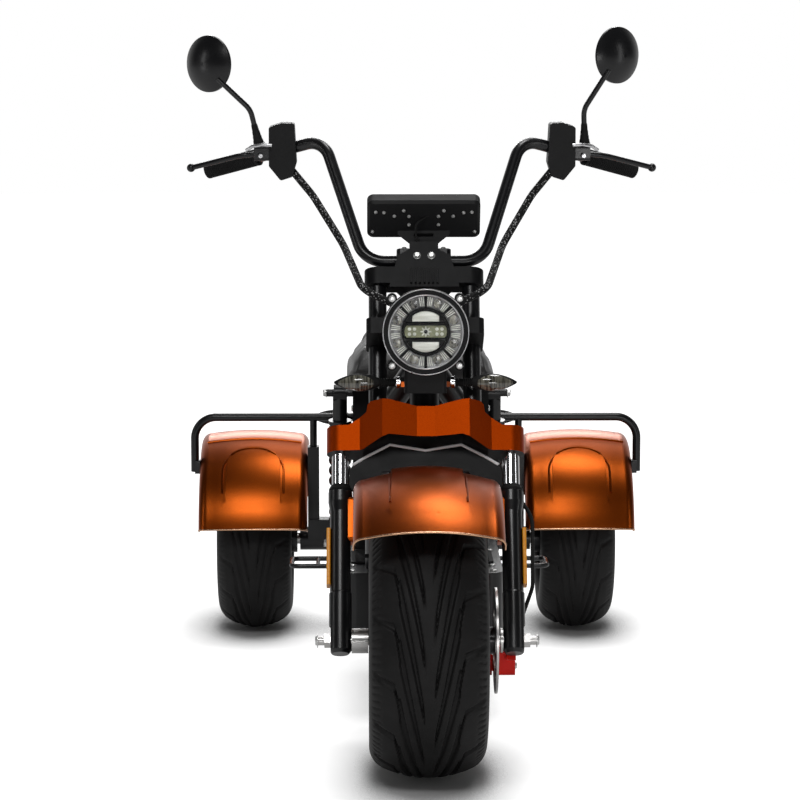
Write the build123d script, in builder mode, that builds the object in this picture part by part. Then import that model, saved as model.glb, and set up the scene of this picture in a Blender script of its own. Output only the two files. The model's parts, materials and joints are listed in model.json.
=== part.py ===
"""Three-wheeled electric scooter: one wide steered wheel in front, two driven wheels behind.

The front faces -Y, the rider's left is +X, up is +Z, and the origin is on the floor at the middle of
the scooter's box. All sizes are in millimetres.
"""

import os
from math import cos, radians, sin, sqrt

from build123d import *

os.makedirs("parts", exist_ok=True)

# Wheels and stance
WHEELBASE = 1250
TRACK = 686
FRONT_TYRE_DIAMETER = 478
FRONT_TYRE_WIDTH = 205
FRONT_TYRE_SECTION = 86.5
REAR_TYRE_DIAMETER = 380
REAR_TYRE_WIDTH = 158
REAR_TYRE_SECTION = 88.5
RIM_WALL = 9
RIM_LIP = 6

# Fenders
FRONT_FENDER_GAP = 60
REAR_FENDER_GAP = 45
REAR_FENDER_ROOM = 35
FENDER_SHEET = 3
FENDER_CORNER = 20
FRONT_FENDER_DROP = 16
FRONT_FENDER_SKIRT = 10
FRONT_FENDER_START = 50
FRONT_FENDER_END = 140
REAR_FENDER_DROP = 7
REAR_FENDER_SKIRT = 16
REAR_FENDER_ANGLE = 15

# Fork and steering, along the fork's legs
RAKE = 28
FORK_OFFSET = 45
FORK_ROOM = 100
STANCHION_DIAMETER = 31
SLIDER_RADIUS = 18.5
SLIDER_BOSS = 20
SLIDER_COLLAR = 21.5
SLIDER_TOP = 276
SLIDER_SEAM = 85
STANCHION_SHOW = 69
CLAMP_BOSS = 24.5
CLAMP_ARM_HEIGHT = 48
CLAMP_RISE = 39
POST_LENGTH = 236
POST_SPACING = 170
POST_DIAMETER = 33
UPPER_CLAMP_THICKNESS = 32
UPPER_CLAMP_DEPTH = 48
STEM_DIAMETER = 30
STEM_NUT = 24
HEAD_TUBE_DIAMETER = 54
FRONT_AXLE_DIAMETER = 16
AXLE_NUT = 13
FRONT_HUB_RADIUS = 24
REFLECTOR_LOW = 100
REFLECTOR_LENGTH = 104

# Front brake
DISC_SIDE_GAP = 15.5
DISC_RADIUS = 93
DISC_THICKNESS = 4
CALIPER_BEHIND = 58
CALIPER_BELOW = 46

# Lamps
LAMP_AHEAD = 164
LAMP_DROP = 63
LAMP_RADIUS = 68
LAMP_INNER = 43
LENS_THICKNESS = 3
SIGNAL_DROP = 94
SIGNAL_BEHIND = 31
SIGNAL_LENGTH = 126
SIGNAL_RADIUS = 16
SIGNAL_STALK = 7.5
SIGNAL_BLOCK = 76
TAIL_LAMP_WIDTH = 130
TAIL_LAMP_HEIGHT = 36

# Handlebar, from the middle of its low run
BAR_DIAMETER = 22
BAR_RISE = 24
BAR_BACK = 10
BAR_LOW_X = 109
BAR_CREST = (185, 131, 217)
BAR_END = (404, 251, 153)
BAR_BEND = 50
RISER_X = 36
GRIP_DIAMETER = 33
GRIP_LENGTH = 117
HOUSING_INNER = 236
HOUSING_OUTER = 288
HOUSING_DEPTH = 56
PERCH_LENGTH = 28
LEVER_DIAMETER = 10
MIRROR_RADIUS = 53
MIRROR_RIM = 5
MIRROR_DOME = 18
MIRROR_YAW = 38
DASH_WIDTH = 208
DASH_HEIGHT = 78
DASH_DEPTH = 28
DASH_LEAN = 25
CONTROL_HOSE = 14
BRAKE_HOSE = 7
DASH_LEAD = 4

# Body
DECK_HALF_WIDTH = 150
DECK_FRONT = 352
DECK_LENGTH = 508
DECK_BOTTOM = 168
DECK_HEIGHT = 122
DECK_WALL = 5
MAT_LENGTH = 125
MAT_THICKNESS = 4
BATTERY_HEIGHT = 90
DOWN_TUBE = 45
DOWN_TUBE_X = 86
BASE_HALF_WIDTH = 132
BASE_HEIGHT = 310
BASE_CORNER = 20
SEAT_HEIGHT = 112
SEAT_HALF_WIDTH = 146
PILLION_HALF_WIDTH = 105
PILLION_HEIGHT = 104

# Rear suspension, hoops and steps
ARM_WIDTH = 40
BEAM_HEIGHT = 42
BEAM_DEPTH = 40
UPRIGHT_WIDTH = 24
AXLE_TUBE = 50
MOTOR_RADIUS = 75
MOTOR_HALF_WIDTH = 88
SHAFT_DIAMETER = 24
SHOCK_ROOM = 28
SPRING_BOTTOM = 50
SPRING_LENGTH = 200
COILS = 9
HOOP_DIAMETER = 17
HOOP_RISE = 44
HOOP_AHEAD = 100
HOOP_BEND = 45
STEP_REACH = 105
STEP_LENGTH = 80
STEP_DIAMETER = 10

# Clearances
RUNNING_FIT = 0.1
SEAT_FIT = 0.1
MOVING_GAP = 6

FRONT_RADIUS = FRONT_TYRE_DIAMETER / 2
REAR_RADIUS = REAR_TYRE_DIAMETER / 2
FRONT_RIM_DIAMETER = FRONT_TYRE_DIAMETER - 2 * FRONT_TYRE_SECTION
REAR_RIM_DIAMETER = REAR_TYRE_DIAMETER - 2 * REAR_TYRE_SECTION
FRONT_FENDER_RADIUS = FRONT_RADIUS + FRONT_FENDER_GAP
REAR_FENDER_RADIUS = REAR_RADIUS + REAR_FENDER_GAP
REAR_FENDER_WIDTH = REAR_TYRE_WIDTH + 2 * REAR_FENDER_ROOM
REAR_REACH = REAR_FENDER_RADIUS * cos(radians(REAR_FENDER_ANGLE))
FRONT_AXLE_Y = -(WHEELBASE + REAR_REACH - FRONT_RADIUS) / 2
REAR_AXLE_Y = FRONT_AXLE_Y + WHEELBASE
FORK_SPACING = FRONT_TYRE_WIDTH + FORK_ROOM
FRONT_FENDER_WIDTH = FORK_SPACING - 2 * SLIDER_COLLAR - 4
LEG_X = FORK_SPACING / 2
POST_X = POST_SPACING / 2
WHEEL_X = TRACK / 2
CLAMP_BOTTOM = SLIDER_TOP + STANCHION_SHOW
CLAMP_ARM_TOP = CLAMP_BOTTOM + CLAMP_ARM_HEIGHT
CLAMP_SHOULDER = CLAMP_ARM_TOP + CLAMP_RISE
UPPER_CLAMP_BOTTOM = CLAMP_SHOULDER + POST_LENGTH
UPPER_CLAMP_TOP = UPPER_CLAMP_BOTTOM + UPPER_CLAMP_THICKNESS
BAR_UP = UPPER_CLAMP_TOP + BAR_RISE
DECK_REAR = DECK_FRONT + DECK_LENGTH
DECK_TOP = DECK_BOTTOM + DECK_HEIGHT
BASE_FRONT = DECK_FRONT + 238
BASE_REAR = WHEELBASE - 70
BASE_TOP = DECK_TOP + BASE_HEIGHT
SIDES = (("left", 1), ("right", -1))

# The fork's own frame: x across, y back, z up along the legs, from the front axle
FORK = Plane(
    origin=(0, FRONT_AXLE_Y, FRONT_RADIUS),
    x_dir=(1, 0, 0),
    z_dir=(0, sin(radians(RAKE)), cos(radians(RAKE))),
)
FORK_FACE = Plane(origin=FORK.origin, x_dir=(1, 0, 0), z_dir=-FORK.y_dir)


def fork(x, back, up):
    """A point given in the fork's frame."""
    return FORK.from_local_coords((x, back, up))


bar_centre = fork(0, BAR_BACK, BAR_UP)
lamp_centre = fork(0, 0, UPPER_CLAMP_BOTTOM) - Vector(0, LAMP_AHEAD, LAMP_DROP)


def spot(x, behind, height):
    """A point given by its distance behind the front axle and its height over the floor."""
    return (x, FRONT_AXLE_Y + behind, height)


def bar(x, behind, above):
    """A point given from the middle of the handlebar's low run."""
    return (x, bar_centre.Y + behind, bar_centre.Z + above)


def lamp(x, behind, above):
    """A point given from the middle of the headlight's face."""
    return (x, lamp_centre.Y + behind, lamp_centre.Z + above)


def across(x, y, z):
    """A sketch plane square to the wheel axles, with its x to the back and its y up."""
    return Plane(origin=(x, y, z), x_dir=(0, 1, 0), z_dir=(1, 0, 0))


def radial(x, y, z, angle):
    """A sketch plane through a wheel's axle, its y pointing out at an angle above straight ahead."""
    return Plane(
        origin=(x, y, z), x_dir=(1, 0, 0), z_dir=(0, -sin(radians(angle)), -cos(radians(angle)))
    )


def level(height):
    """A level sketch plane with its origin over the front axle."""
    return Plane(origin=spot(0, 0, height), x_dir=(1, 0, 0), z_dir=(0, 0, 1))


def save(piece, name):
    piece.label = name
    export_step(piece, f"parts/{name}.step")


def tube(points, bends, diameter):
    """A round tube along straight runs joined by tangent arcs."""
    with BuildPart() as run:
        with BuildLine() as path:
            if bends:
                FilletPolyline(*points, radius=bends)
            else:
                Line(*points)
        with BuildSketch(Plane(origin=path.line @ 0, z_dir=path.line % 0)):
            Circle(diameter / 2)
        sweep(path=path.line)
    return run.part


def tyre(x, y, radius, width, rim_diameter):
    """A round-shouldered tyre on its rim, the air space filled."""
    half = width / 2
    bead = rim_diameter / 2
    height = radius - bead
    seat = 0.78 * half - SEAT_FIT
    shoulder = (0.76 * half, radius - 0.2 * height)
    widest = (half, radius - 0.62 * height)
    foot = (seat, radius - 0.88 * height)
    with BuildPart() as ring:
        with BuildSketch(radial(x, y, radius, 90)):
            with BuildLine():
                ThreePointArc((-shoulder[0], shoulder[1]), (0, radius), shoulder)
                for side in (1, -1):
                    ThreePointArc(
                        (side * shoulder[0], shoulder[1]),
                        (side * 0.93 * half, radius - 0.37 * height),
                        (side * widest[0], widest[1]),
                    )
                    ThreePointArc(
                        (side * widest[0], widest[1]),
                        (side * 0.95 * half, radius - 0.79 * height),
                        (side * foot[0], foot[1]),
                    )
                    Line((side * foot[0], foot[1]), (side * seat, bead))
                Line((-seat, bead), (seat, bead))
            make_face()
        revolve(axis=Axis((x, y, radius), (1, 0, 0)))
    return ring.part


def rim(x, y, radius, width, rim_diameter, hub, bore, spoke):
    """A cast wheel: flanged barrel, straight spokes and a hub from hub[0] to hub[1] along x."""
    bead = rim_diameter / 2 - SEAT_FIT
    seat = 0.78 * width / 2
    lip = bead + RIM_WALL
    inner = bead - RIM_WALL
    hub_start, hub_end, hub_radius = hub
    spoke_middle, spoke_half, spoke_width, spoke_count = spoke
    spoke_length = inner + RIM_WALL / 3 - hub_radius / 2
    with BuildPart() as wheel:
        with BuildSketch(radial(x, y, radius, 90)):
            with BuildLine():
                Polyline(
                    (-seat - RIM_LIP, inner),
                    (-seat - RIM_LIP, lip),
                    (-seat, lip),
                    (-seat, bead),
                    (seat, bead),
                    (seat, lip),
                    (seat + RIM_LIP, lip),
                    (seat + RIM_LIP, inner),
                    close=True,
                )
            make_face()
        revolve(axis=Axis((x, y, radius), (1, 0, 0)))
        with BuildSketch(across(spoke_middle, y, radius)):
            with PolarLocations((hub_radius + spoke_length) / 2, spoke_count):
                Rectangle(spoke_length, spoke_width)
        extrude(amount=spoke_half, both=True)
        with BuildSketch(across(hub_start, y, radius)):
            Circle(hub_radius)
        extrude(amount=hub_end - hub_start)
        with BuildSketch(across(hub_start, y, radius)):
            Circle(bore / 2)
        extrude(amount=hub_end - hub_start, mode=Mode.SUBTRACT)
    return wheel.part


def fender(x, y, z, radius, width, drop, skirt, start, end, hood):
    """An arched sheet fender, its crown falling by drop to the shoulders.

    The hood is a pressed panel with a round top end. It is level with the sheet at hood_start and
    lifts off it towards hood_end, because its arch has the same radius about a centre moved by
    hood_shift.
    """
    half = width / 2
    corner = FENDER_CORNER
    sheet = FENDER_SHEET
    outer_bend = corner * cos(radians(45))
    inner_bend = (corner - sheet) * cos(radians(45))
    edge = half - corner
    bend_low = radius - drop - corner
    under = radius - drop - sheet
    low = radius / 2
    hood_half, hood_shift, hood_start, hood_end = hood
    axis = Axis((x, y, z), (-1, 0, 0))
    with BuildPart() as shell:
        with BuildSketch(radial(x, y, z, start)):
            with BuildLine():
                ThreePointArc((-edge, radius - drop), (0, radius), (edge, radius - drop))
                for side in (1, -1):
                    ThreePointArc(
                        (side * edge, radius - drop),
                        (side * (edge + outer_bend), bend_low + outer_bend),
                        (side * half, bend_low),
                    )
                    Polyline(
                        (side * half, bend_low),
                        (side * half, bend_low - skirt),
                        (side * (half - sheet), bend_low - skirt),
                        (side * (half - sheet), bend_low),
                    )
                    ThreePointArc(
                        (side * (half - sheet), bend_low),
                        (side * (edge + inner_bend), bend_low + inner_bend),
                        (side * edge, under),
                    )
                ThreePointArc((-edge, under), (0, radius - sheet), (edge, under))
            make_face()
        revolve(axis=axis, revolution_arc=end - start)
    lift = radians(hood_start + 90)
    raised_y = y - hood_shift * cos(lift)
    raised_z = z + hood_shift * sin(lift)
    middle = radians((hood_start + hood_end) / 2)
    outward = Vector(0, -cos(middle), sin(middle))
    half_angle = radians((hood_end - hood_start) / 2)
    reach = radius * sin(half_angle)
    base = Vector(x, y, z) + outward * (radius * cos(half_angle) - 2 * corner)
    inside = radius - sheet / 2
    with BuildPart() as raised:
        with BuildSketch(radial(x, raised_y, raised_z, start)):
            with BuildLine():
                ThreePointArc((-edge, radius - drop), (0, radius), (edge, radius - drop))
                Polyline((edge, radius - drop), (edge, low), (-edge, low), (-edge, radius - drop))
            make_face()
        revolve(axis=Axis((x, raised_y, raised_z), (-1, 0, 0)), revolution_arc=end - start)
        with BuildSketch(Plane(origin=base, x_dir=(1, 0, 0), z_dir=outward)):
            with Locations((0, reach - hood_half)):
                Circle(hood_half)
            with Locations((0, -hood_half / 2)):
                Rectangle(2 * hood_half, 2 * reach - hood_half)
        extrude(amount=reach + 4 * corner, taper=8, mode=Mode.INTERSECT)
        with BuildSketch(radial(x, y, z, start - 10)):
            with BuildLine():
                ThreePointArc((-edge, inside - drop), (0, inside), (edge, inside - drop))
                Polyline((edge, inside - drop), (edge, 0), (-edge, 0), (-edge, inside - drop))
            make_face()
        revolve(axis=axis, revolution_arc=end - start + 20, mode=Mode.SUBTRACT)
    with BuildPart() as whole:
        add(shell.part)
        add(raised.part)
    return whole.part


# Front wheel
front_tyre = tyre(0, FRONT_AXLE_Y, FRONT_RADIUS, FRONT_TYRE_WIDTH, FRONT_RIM_DIAMETER)
save(front_tyre, "front_tyre")

DISC_X = FRONT_TYRE_WIDTH / 2 + DISC_SIDE_GAP
front_rim = rim(
    0,
    FRONT_AXLE_Y,
    FRONT_RADIUS,
    FRONT_TYRE_WIDTH,
    FRONT_RIM_DIAMETER,
    (-FRONT_TYRE_WIDTH / 2 + MOVING_GAP, DISC_X, FRONT_HUB_RADIUS),
    FRONT_AXLE_DIAMETER + 2 * RUNNING_FIT,
    (0, 14, 24, 10),
)
save(front_rim, "front_rim")

DISC_BAND = 26
with BuildPart() as front_disc:
    with BuildSketch(across(DISC_X, FRONT_AXLE_Y, FRONT_RADIUS)):
        Circle(DISC_RADIUS)
        Circle(FRONT_AXLE_DIAMETER / 2 + 4, mode=Mode.SUBTRACT)
        with PolarLocations((DISC_RADIUS - DISC_BAND + FRONT_HUB_RADIUS) / 2, 6):
            Circle((DISC_RADIUS - DISC_BAND - FRONT_HUB_RADIUS) / 3.3, mode=Mode.SUBTRACT)
        with PolarLocations(DISC_RADIUS - DISC_BAND / 2, 18):
            Circle(4, mode=Mode.SUBTRACT)
    extrude(amount=DISC_THICKNESS)
save(front_disc.part, "front_disc")

# Fork, in its own frame
AXLE_FLAT = LEG_X + 17
with BuildPart() as fork_sliders:
    for side in (1, -1):
        with BuildSketch(FORK_FACE):
            with BuildLine():
                Polyline(
                    (side * LEG_X, -24),
                    (side * (LEG_X + SLIDER_BOSS - 5), -24),
                    (side * (LEG_X + SLIDER_BOSS), -18),
                    (side * (LEG_X + SLIDER_BOSS), SLIDER_SEAM),
                    (side * (LEG_X + SLIDER_RADIUS), SLIDER_SEAM + 3),
                    (side * (LEG_X + SLIDER_RADIUS), SLIDER_TOP - 40),
                    (side * (LEG_X + SLIDER_COLLAR), SLIDER_TOP - 22),
                    (side * (LEG_X + SLIDER_COLLAR), SLIDER_TOP - 3),
                    (side * (LEG_X + SLIDER_COLLAR - 2.5), SLIDER_TOP),
                    (side * LEG_X, SLIDER_TOP),
                    close=True,
                )
            make_face()
        revolve(axis=Axis(fork(side * LEG_X, 0, 0), FORK.z_dir))
    with BuildSketch(across(-LEG_X - 30, FRONT_AXLE_Y, FRONT_RADIUS)):
        Circle(FRONT_AXLE_DIAMETER / 2 + SEAT_FIT)
    extrude(amount=2 * LEG_X + 60, mode=Mode.SUBTRACT)
    for side in (1, -1):
        with BuildSketch(across(side * AXLE_FLAT, FRONT_AXLE_Y, FRONT_RADIUS)):
            Circle(FRONT_AXLE_DIAMETER / 2 + 20)
        extrude(amount=side * 20, mode=Mode.SUBTRACT)
save(fork_sliders.part, "fork_sliders")

with BuildPart() as fork_stanchions:
    with BuildSketch(FORK.offset(SLIDER_TOP)):
        with Locations((LEG_X, 0), (-LEG_X, 0)):
            Circle(STANCHION_DIAMETER / 2)
    extrude(amount=CLAMP_ARM_TOP - SLIDER_TOP)
save(fork_stanchions.part, "fork_stanchions")

NUT_LENGTH = 11
with BuildPart() as front_axle:
    with BuildSketch(across(-AXLE_FLAT - 2 * NUT_LENGTH, FRONT_AXLE_Y, FRONT_RADIUS)):
        Circle(FRONT_AXLE_DIAMETER / 2)
    extrude(amount=2 * (AXLE_FLAT + 2 * NUT_LENGTH))
    for start, length in ((-LEG_X + SLIDER_BOSS, 29), (LEG_X - SLIDER_BOSS, -4)):
        with BuildSketch(across(start, FRONT_AXLE_Y, FRONT_RADIUS)):
            Circle(FRONT_HUB_RADIUS - 2)
        extrude(amount=length)
    for side in (1, -1):
        with BuildSketch(across(side * AXLE_FLAT, FRONT_AXLE_Y, FRONT_RADIUS)):
            RegularPolygon(AXLE_NUT, 6)
        extrude(amount=side * NUT_LENGTH)
save(front_axle.part, "front_axle")

with BuildPart() as fork_reflectors:
    for side in (1, -1):
        with BuildSketch(FORK.offset(REFLECTOR_LOW)):
            with Locations((side * (LEG_X + SLIDER_RADIUS + 2.5), 0)):
                RectangleRounded(7, 26, 2)
        extrude(amount=REFLECTOR_LENGTH)
    with BuildSketch(FORK.offset(REFLECTOR_LOW - 10)):
        with Locations((LEG_X, 0), (-LEG_X, 0)):
            Circle(SLIDER_RADIUS + SEAT_FIT)
    extrude(amount=REFLECTOR_LENGTH + 20, mode=Mode.SUBTRACT)
save(fork_reflectors.part, "fork_reflectors")

# Lower clamp: a faceted gull shape, cut from its front outline and its plan
CLAMP_NECK = 16
clamp_half = (
    (CLAMP_NECK, CLAMP_BOTTOM + 19),
    (POST_X - 19, CLAMP_BOTTOM + 21),
    (POST_X + 27, CLAMP_BOTTOM),
    (LEG_X + CLAMP_BOSS, CLAMP_BOTTOM),
    (LEG_X + CLAMP_BOSS, CLAMP_ARM_TOP),
    (LEG_X - 15.5, CLAMP_ARM_TOP),
    (POST_X + 21, CLAMP_SHOULDER - 18),
    (POST_X + 19, CLAMP_SHOULDER - 5),
    (POST_X + 14, CLAMP_SHOULDER),
    (POST_X - 19, CLAMP_SHOULDER),
    (CLAMP_NECK, CLAMP_SHOULDER - 11),
)
clamp_plan = (
    (-POST_X - 33, -26),
    (-POST_X + 7, -56),
    (-CLAMP_NECK, -46),
    (CLAMP_NECK, -46),
    (POST_X - 7, -56),
    (POST_X + 33, -26),
)
with BuildPart() as lower_clamp:
    with BuildSketch(FORK_FACE):
        with BuildLine():
            Polyline(*clamp_half, *((-x, z) for x, z in reversed(clamp_half)), close=True)
        make_face()
    extrude(amount=120, both=True)
    with BuildSketch(FORK.offset(CLAMP_BOTTOM - 20)):
        with BuildLine():
            Polyline((-LEG_X, -CLAMP_BOSS), *clamp_plan, (LEG_X, -CLAMP_BOSS))
            ThreePointArc((LEG_X, -CLAMP_BOSS), (LEG_X + CLAMP_BOSS, 0), (LEG_X, CLAMP_BOSS))
            Polyline(
                (LEG_X, CLAMP_BOSS),
                (POST_X - 15, FORK_OFFSET - 3),
                (34, FORK_OFFSET + 37),
                (-34, FORK_OFFSET + 37),
                (-POST_X + 15, FORK_OFFSET - 3),
                (-LEG_X, CLAMP_BOSS),
            )
            ThreePointArc((-LEG_X, CLAMP_BOSS), (-LEG_X - CLAMP_BOSS, 0), (-LEG_X, -CLAMP_BOSS))
        make_face()
    extrude(amount=CLAMP_SHOULDER - CLAMP_BOTTOM + 40, mode=Mode.INTERSECT)
    with BuildSketch(FORK.offset(CLAMP_BOTTOM - 20)):
        with Locations((LEG_X, 0), (-LEG_X, 0)):
            Circle(STANCHION_DIAMETER / 2 + SEAT_FIT)
        with Locations((0, FORK_OFFSET)):
            Circle(STEM_DIAMETER / 2 + SEAT_FIT)
    extrude(amount=CLAMP_SHOULDER - CLAMP_BOTTOM + 40, mode=Mode.SUBTRACT)
save(lower_clamp.part, "lower_clamp")

STEM_BOTTOM = CLAMP_BOTTOM + 5
with BuildPart() as steering_stem:
    with BuildSketch(FORK.offset(STEM_BOTTOM)):
        with Locations((0, FORK_OFFSET)):
            Circle(STEM_DIAMETER / 2)
    extrude(amount=UPPER_CLAMP_TOP - STEM_BOTTOM)
    with BuildSketch(FORK.offset(STEM_BOTTOM)):
        with Locations((0, FORK_OFFSET)):
            RegularPolygon(STEM_NUT, 6)
    extrude(amount=14)
save(steering_stem.part, "steering_stem")

with BuildPart() as fork_posts:
    with BuildSketch(FORK.offset(CLAMP_SHOULDER)):
        with Locations((POST_X, 0), (-POST_X, 0)):
            Circle(POST_DIAMETER / 2)
    extrude(amount=POST_LENGTH)
save(fork_posts.part, "fork_posts")

with BuildPart() as upper_clamp:
    with BuildSketch(FORK.offset(UPPER_CLAMP_BOTTOM)):
        SlotCenterToCenter(POST_SPACING, UPPER_CLAMP_DEPTH)
        with BuildLine():
            Polyline((-60, 0), (-30, FORK_OFFSET + 28), (30, FORK_OFFSET + 28), (60, 0), close=True)
        make_face()
        with Locations((0, FORK_OFFSET)):
            Circle(STEM_DIAMETER / 2 + 17)
            Circle(STEM_DIAMETER / 2 + SEAT_FIT, mode=Mode.SUBTRACT)
    extrude(amount=UPPER_CLAMP_THICKNESS)
save(upper_clamp.part, "upper_clamp")

# Front fender, carried by ears on the inner faces of the sliders
front_fender_sheet = fender(
    0,
    FRONT_AXLE_Y,
    FRONT_RADIUS,
    FRONT_FENDER_RADIUS,
    FRONT_FENDER_WIDTH,
    FRONT_FENDER_DROP,
    FRONT_FENDER_SKIRT,
    FRONT_FENDER_START,
    FRONT_FENDER_END,
    (75, 11, 57, 127),
)
EAR_INNER = FRONT_FENDER_WIDTH / 2 - FENDER_SHEET
with BuildPart() as front_fender:
    add(front_fender_sheet)
    for side in (1, -1):
        with BuildSketch(Plane(origin=fork(side * EAR_INNER, 0, 0), x_dir=FORK.y_dir, z_dir=(1, 0, 0))):
            with Locations((0, FRONT_FENDER_RADIUS - 79)):
                RectangleRounded(34, 84, 8)
        extrude(amount=side * (LEG_X - EAR_INNER))
    with BuildSketch(FORK.offset(SLIDER_SEAM)):
        with Locations((LEG_X, 0), (-LEG_X, 0)):
            Circle(SLIDER_COLLAR + SEAT_FIT)
    extrude(amount=SLIDER_TOP, mode=Mode.SUBTRACT)
save(front_fender.part, "front_fender")

# Fork brace: an arched plate over the fender, standing on the sliders' collars
BRACE_THICKNESS = 5
brace_half = (
    (0, CLAMP_BOTTOM + 7),
    (POST_X - 21, CLAMP_BOTTOM + 18),
    (LEG_X - 44, CLAMP_BOTTOM - 6),
    (LEG_X - 22, CLAMP_BOTTOM - 20),
    (LEG_X - STANCHION_DIAMETER / 2 - 0.4, CLAMP_BOTTOM - 32),
    (LEG_X - STANCHION_DIAMETER / 2 - 0.4, SLIDER_TOP),
    (FRONT_FENDER_WIDTH / 2 + 1, SLIDER_TOP),
    (FRONT_FENDER_WIDTH / 2 - 17, FRONT_FENDER_RADIUS - 10),
    (84, FRONT_FENDER_RADIUS - 2),
    (78, FRONT_FENDER_RADIUS + 13),
    (0, FRONT_FENDER_RADIUS + 15),
)
with BuildPart() as fork_brace:
    for side in (1, -1):
        with BuildSketch(FORK_FACE):
            with BuildLine():
                Polyline(*((side * x, z) for x, z in brace_half), close=True)
            make_face()
        extrude(amount=BRACE_THICKNESS / 2, both=True)
save(fork_brace.part, "fork_brace")

# Front brake: the caliper straddles the disc behind and below the axle
with BuildPart() as front_caliper:
    caliper_y = FRONT_AXLE_Y + CALIPER_BEHIND
    caliper_z = FRONT_RADIUS - CALIPER_BELOW
    with BuildSketch(across(DISC_X - 12, caliper_y, caliper_z)):
        RectangleRounded(60, 50, 10)
    extrude(amount=50)
    with BuildSketch(across(DISC_X - MOVING_GAP / 2, FRONT_AXLE_Y, FRONT_RADIUS)):
        Circle(DISC_RADIUS + MOVING_GAP)
    extrude(amount=DISC_THICKNESS + MOVING_GAP, mode=Mode.SUBTRACT)
    with BuildSketch(across(DISC_X + 22, caliper_y, caliper_z)):
        with Locations((-30, 30)):
            RectangleRounded(56, 44, 10)
    extrude(amount=16)
    with BuildSketch(FORK.offset(-60)):
        with Locations((LEG_X, 0)):
            Circle(SLIDER_BOSS + SEAT_FIT)
    extrude(amount=160, mode=Mode.SUBTRACT)
    with BuildSketch(across(DISC_X, FRONT_AXLE_Y, FRONT_RADIUS)):
        Circle(FRONT_HUB_RADIUS)
    extrude(amount=60, mode=Mode.SUBTRACT)
save(front_caliper.part, "front_caliper")

# Headlight: guard ring with four ears, lens, ribbed core and bowl
GUARD_DEPTH = 14
lamp_face = Plane(origin=lamp_centre, x_dir=(1, 0, 0), z_dir=(0, -1, 0))
with BuildPart() as headlight_guard:
    with BuildSketch(lamp_face):
        Circle(LAMP_RADIUS + 9.5)
        with PolarLocations(LAMP_RADIUS + 17, 4, start_angle=45):
            Circle(9)
        Circle(LAMP_RADIUS + SEAT_FIT, mode=Mode.SUBTRACT)
    extrude(amount=-GUARD_DEPTH)
save(headlight_guard.part, "headlight_guard")

with BuildPart() as headlight_lens:
    with BuildSketch(lamp_face.offset(-2)):
        Circle(LAMP_RADIUS)
    extrude(amount=-LENS_THICKNESS)
save(headlight_lens.part, "headlight_lens")

CORE_FACE = GUARD_DEPTH - 3
with BuildPart() as headlight_core:
    with BuildSketch(lamp_face.offset(-CORE_FACE)):
        Circle(LAMP_RADIUS)
    extrude(amount=CORE_FACE - GUARD_DEPTH)
    with BuildSketch(lamp_face.offset(-CORE_FACE)):
        Circle(LAMP_INNER)
        Circle(LAMP_INNER - 4, mode=Mode.SUBTRACT)
        for angle in (45, 90, 135, 225, 270, 315):
            with PolarLocations((LAMP_RADIUS + LAMP_INNER) / 2 - 1, 1, start_angle=angle):
                Rectangle(LAMP_RADIUS - LAMP_INNER, 4)
        Rectangle(2 * LAMP_INNER - 4, 28)
    extrude(amount=CORE_FACE - 2 - LENS_THICKNESS)
save(headlight_core.part, "headlight_core")

SHELL_RADIUS = LAMP_RADIUS + 8
SHELL_DEPTH = 95
with BuildPart() as headlight_shell:
    with BuildSketch(Plane(origin=lamp_face.origin, x_dir=(0, 1, 0), z_dir=(1, 0, 0))):
        with BuildLine():
            Polyline((SHELL_DEPTH, 0), (GUARD_DEPTH, 0), (GUARD_DEPTH, SHELL_RADIUS), (24, SHELL_RADIUS))
            ThreePointArc((24, SHELL_RADIUS), (62, SHELL_RADIUS - 14), (84, SHELL_RADIUS - 40))
            Polyline((84, SHELL_RADIUS - 40), (SHELL_DEPTH, SHELL_RADIUS - 46), (SHELL_DEPTH, 0))
        make_face()
    revolve(axis=Axis(lamp_face.origin, (0, 1, 0)))
save(headlight_shell.part, "headlight_shell")

BRACKET_DOWN = 118
BRACKET_THICKNESS = 30
with BuildPart() as headlight_bracket:
    for side in (1, -1):
        with BuildSketch(FORK.offset(UPPER_CLAMP_BOTTOM - BRACKET_DOWN)):
            with Locations((side * (POST_X - 12), -26)):
                RectangleRounded(66, 98, 10)
        extrude(amount=BRACKET_THICKNESS)
    with BuildSketch(Plane(origin=lamp(0, SIGNAL_BEHIND, -SIGNAL_DROP - 18), z_dir=(0, 0, 1))):
        RectangleRounded(SIGNAL_BLOCK, 30, 6)
    extrude(amount=SIGNAL_DROP + 18 - SHELL_RADIUS + 22)
    with BuildSketch(FORK.offset(UPPER_CLAMP_BOTTOM - BRACKET_DOWN - 10)):
        with Locations((POST_X, 0), (-POST_X, 0)):
            Circle(POST_DIAMETER / 2 + SEAT_FIT)
        with Locations((0, FORK_OFFSET)):
            Circle(HEAD_TUBE_DIAMETER / 2 + MOVING_GAP)
    extrude(amount=BRACKET_THICKNESS + 30, mode=Mode.SUBTRACT)
    add(headlight_shell.part, mode=Mode.SUBTRACT)
save(headlight_bracket.part, "headlight_bracket")


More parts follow.
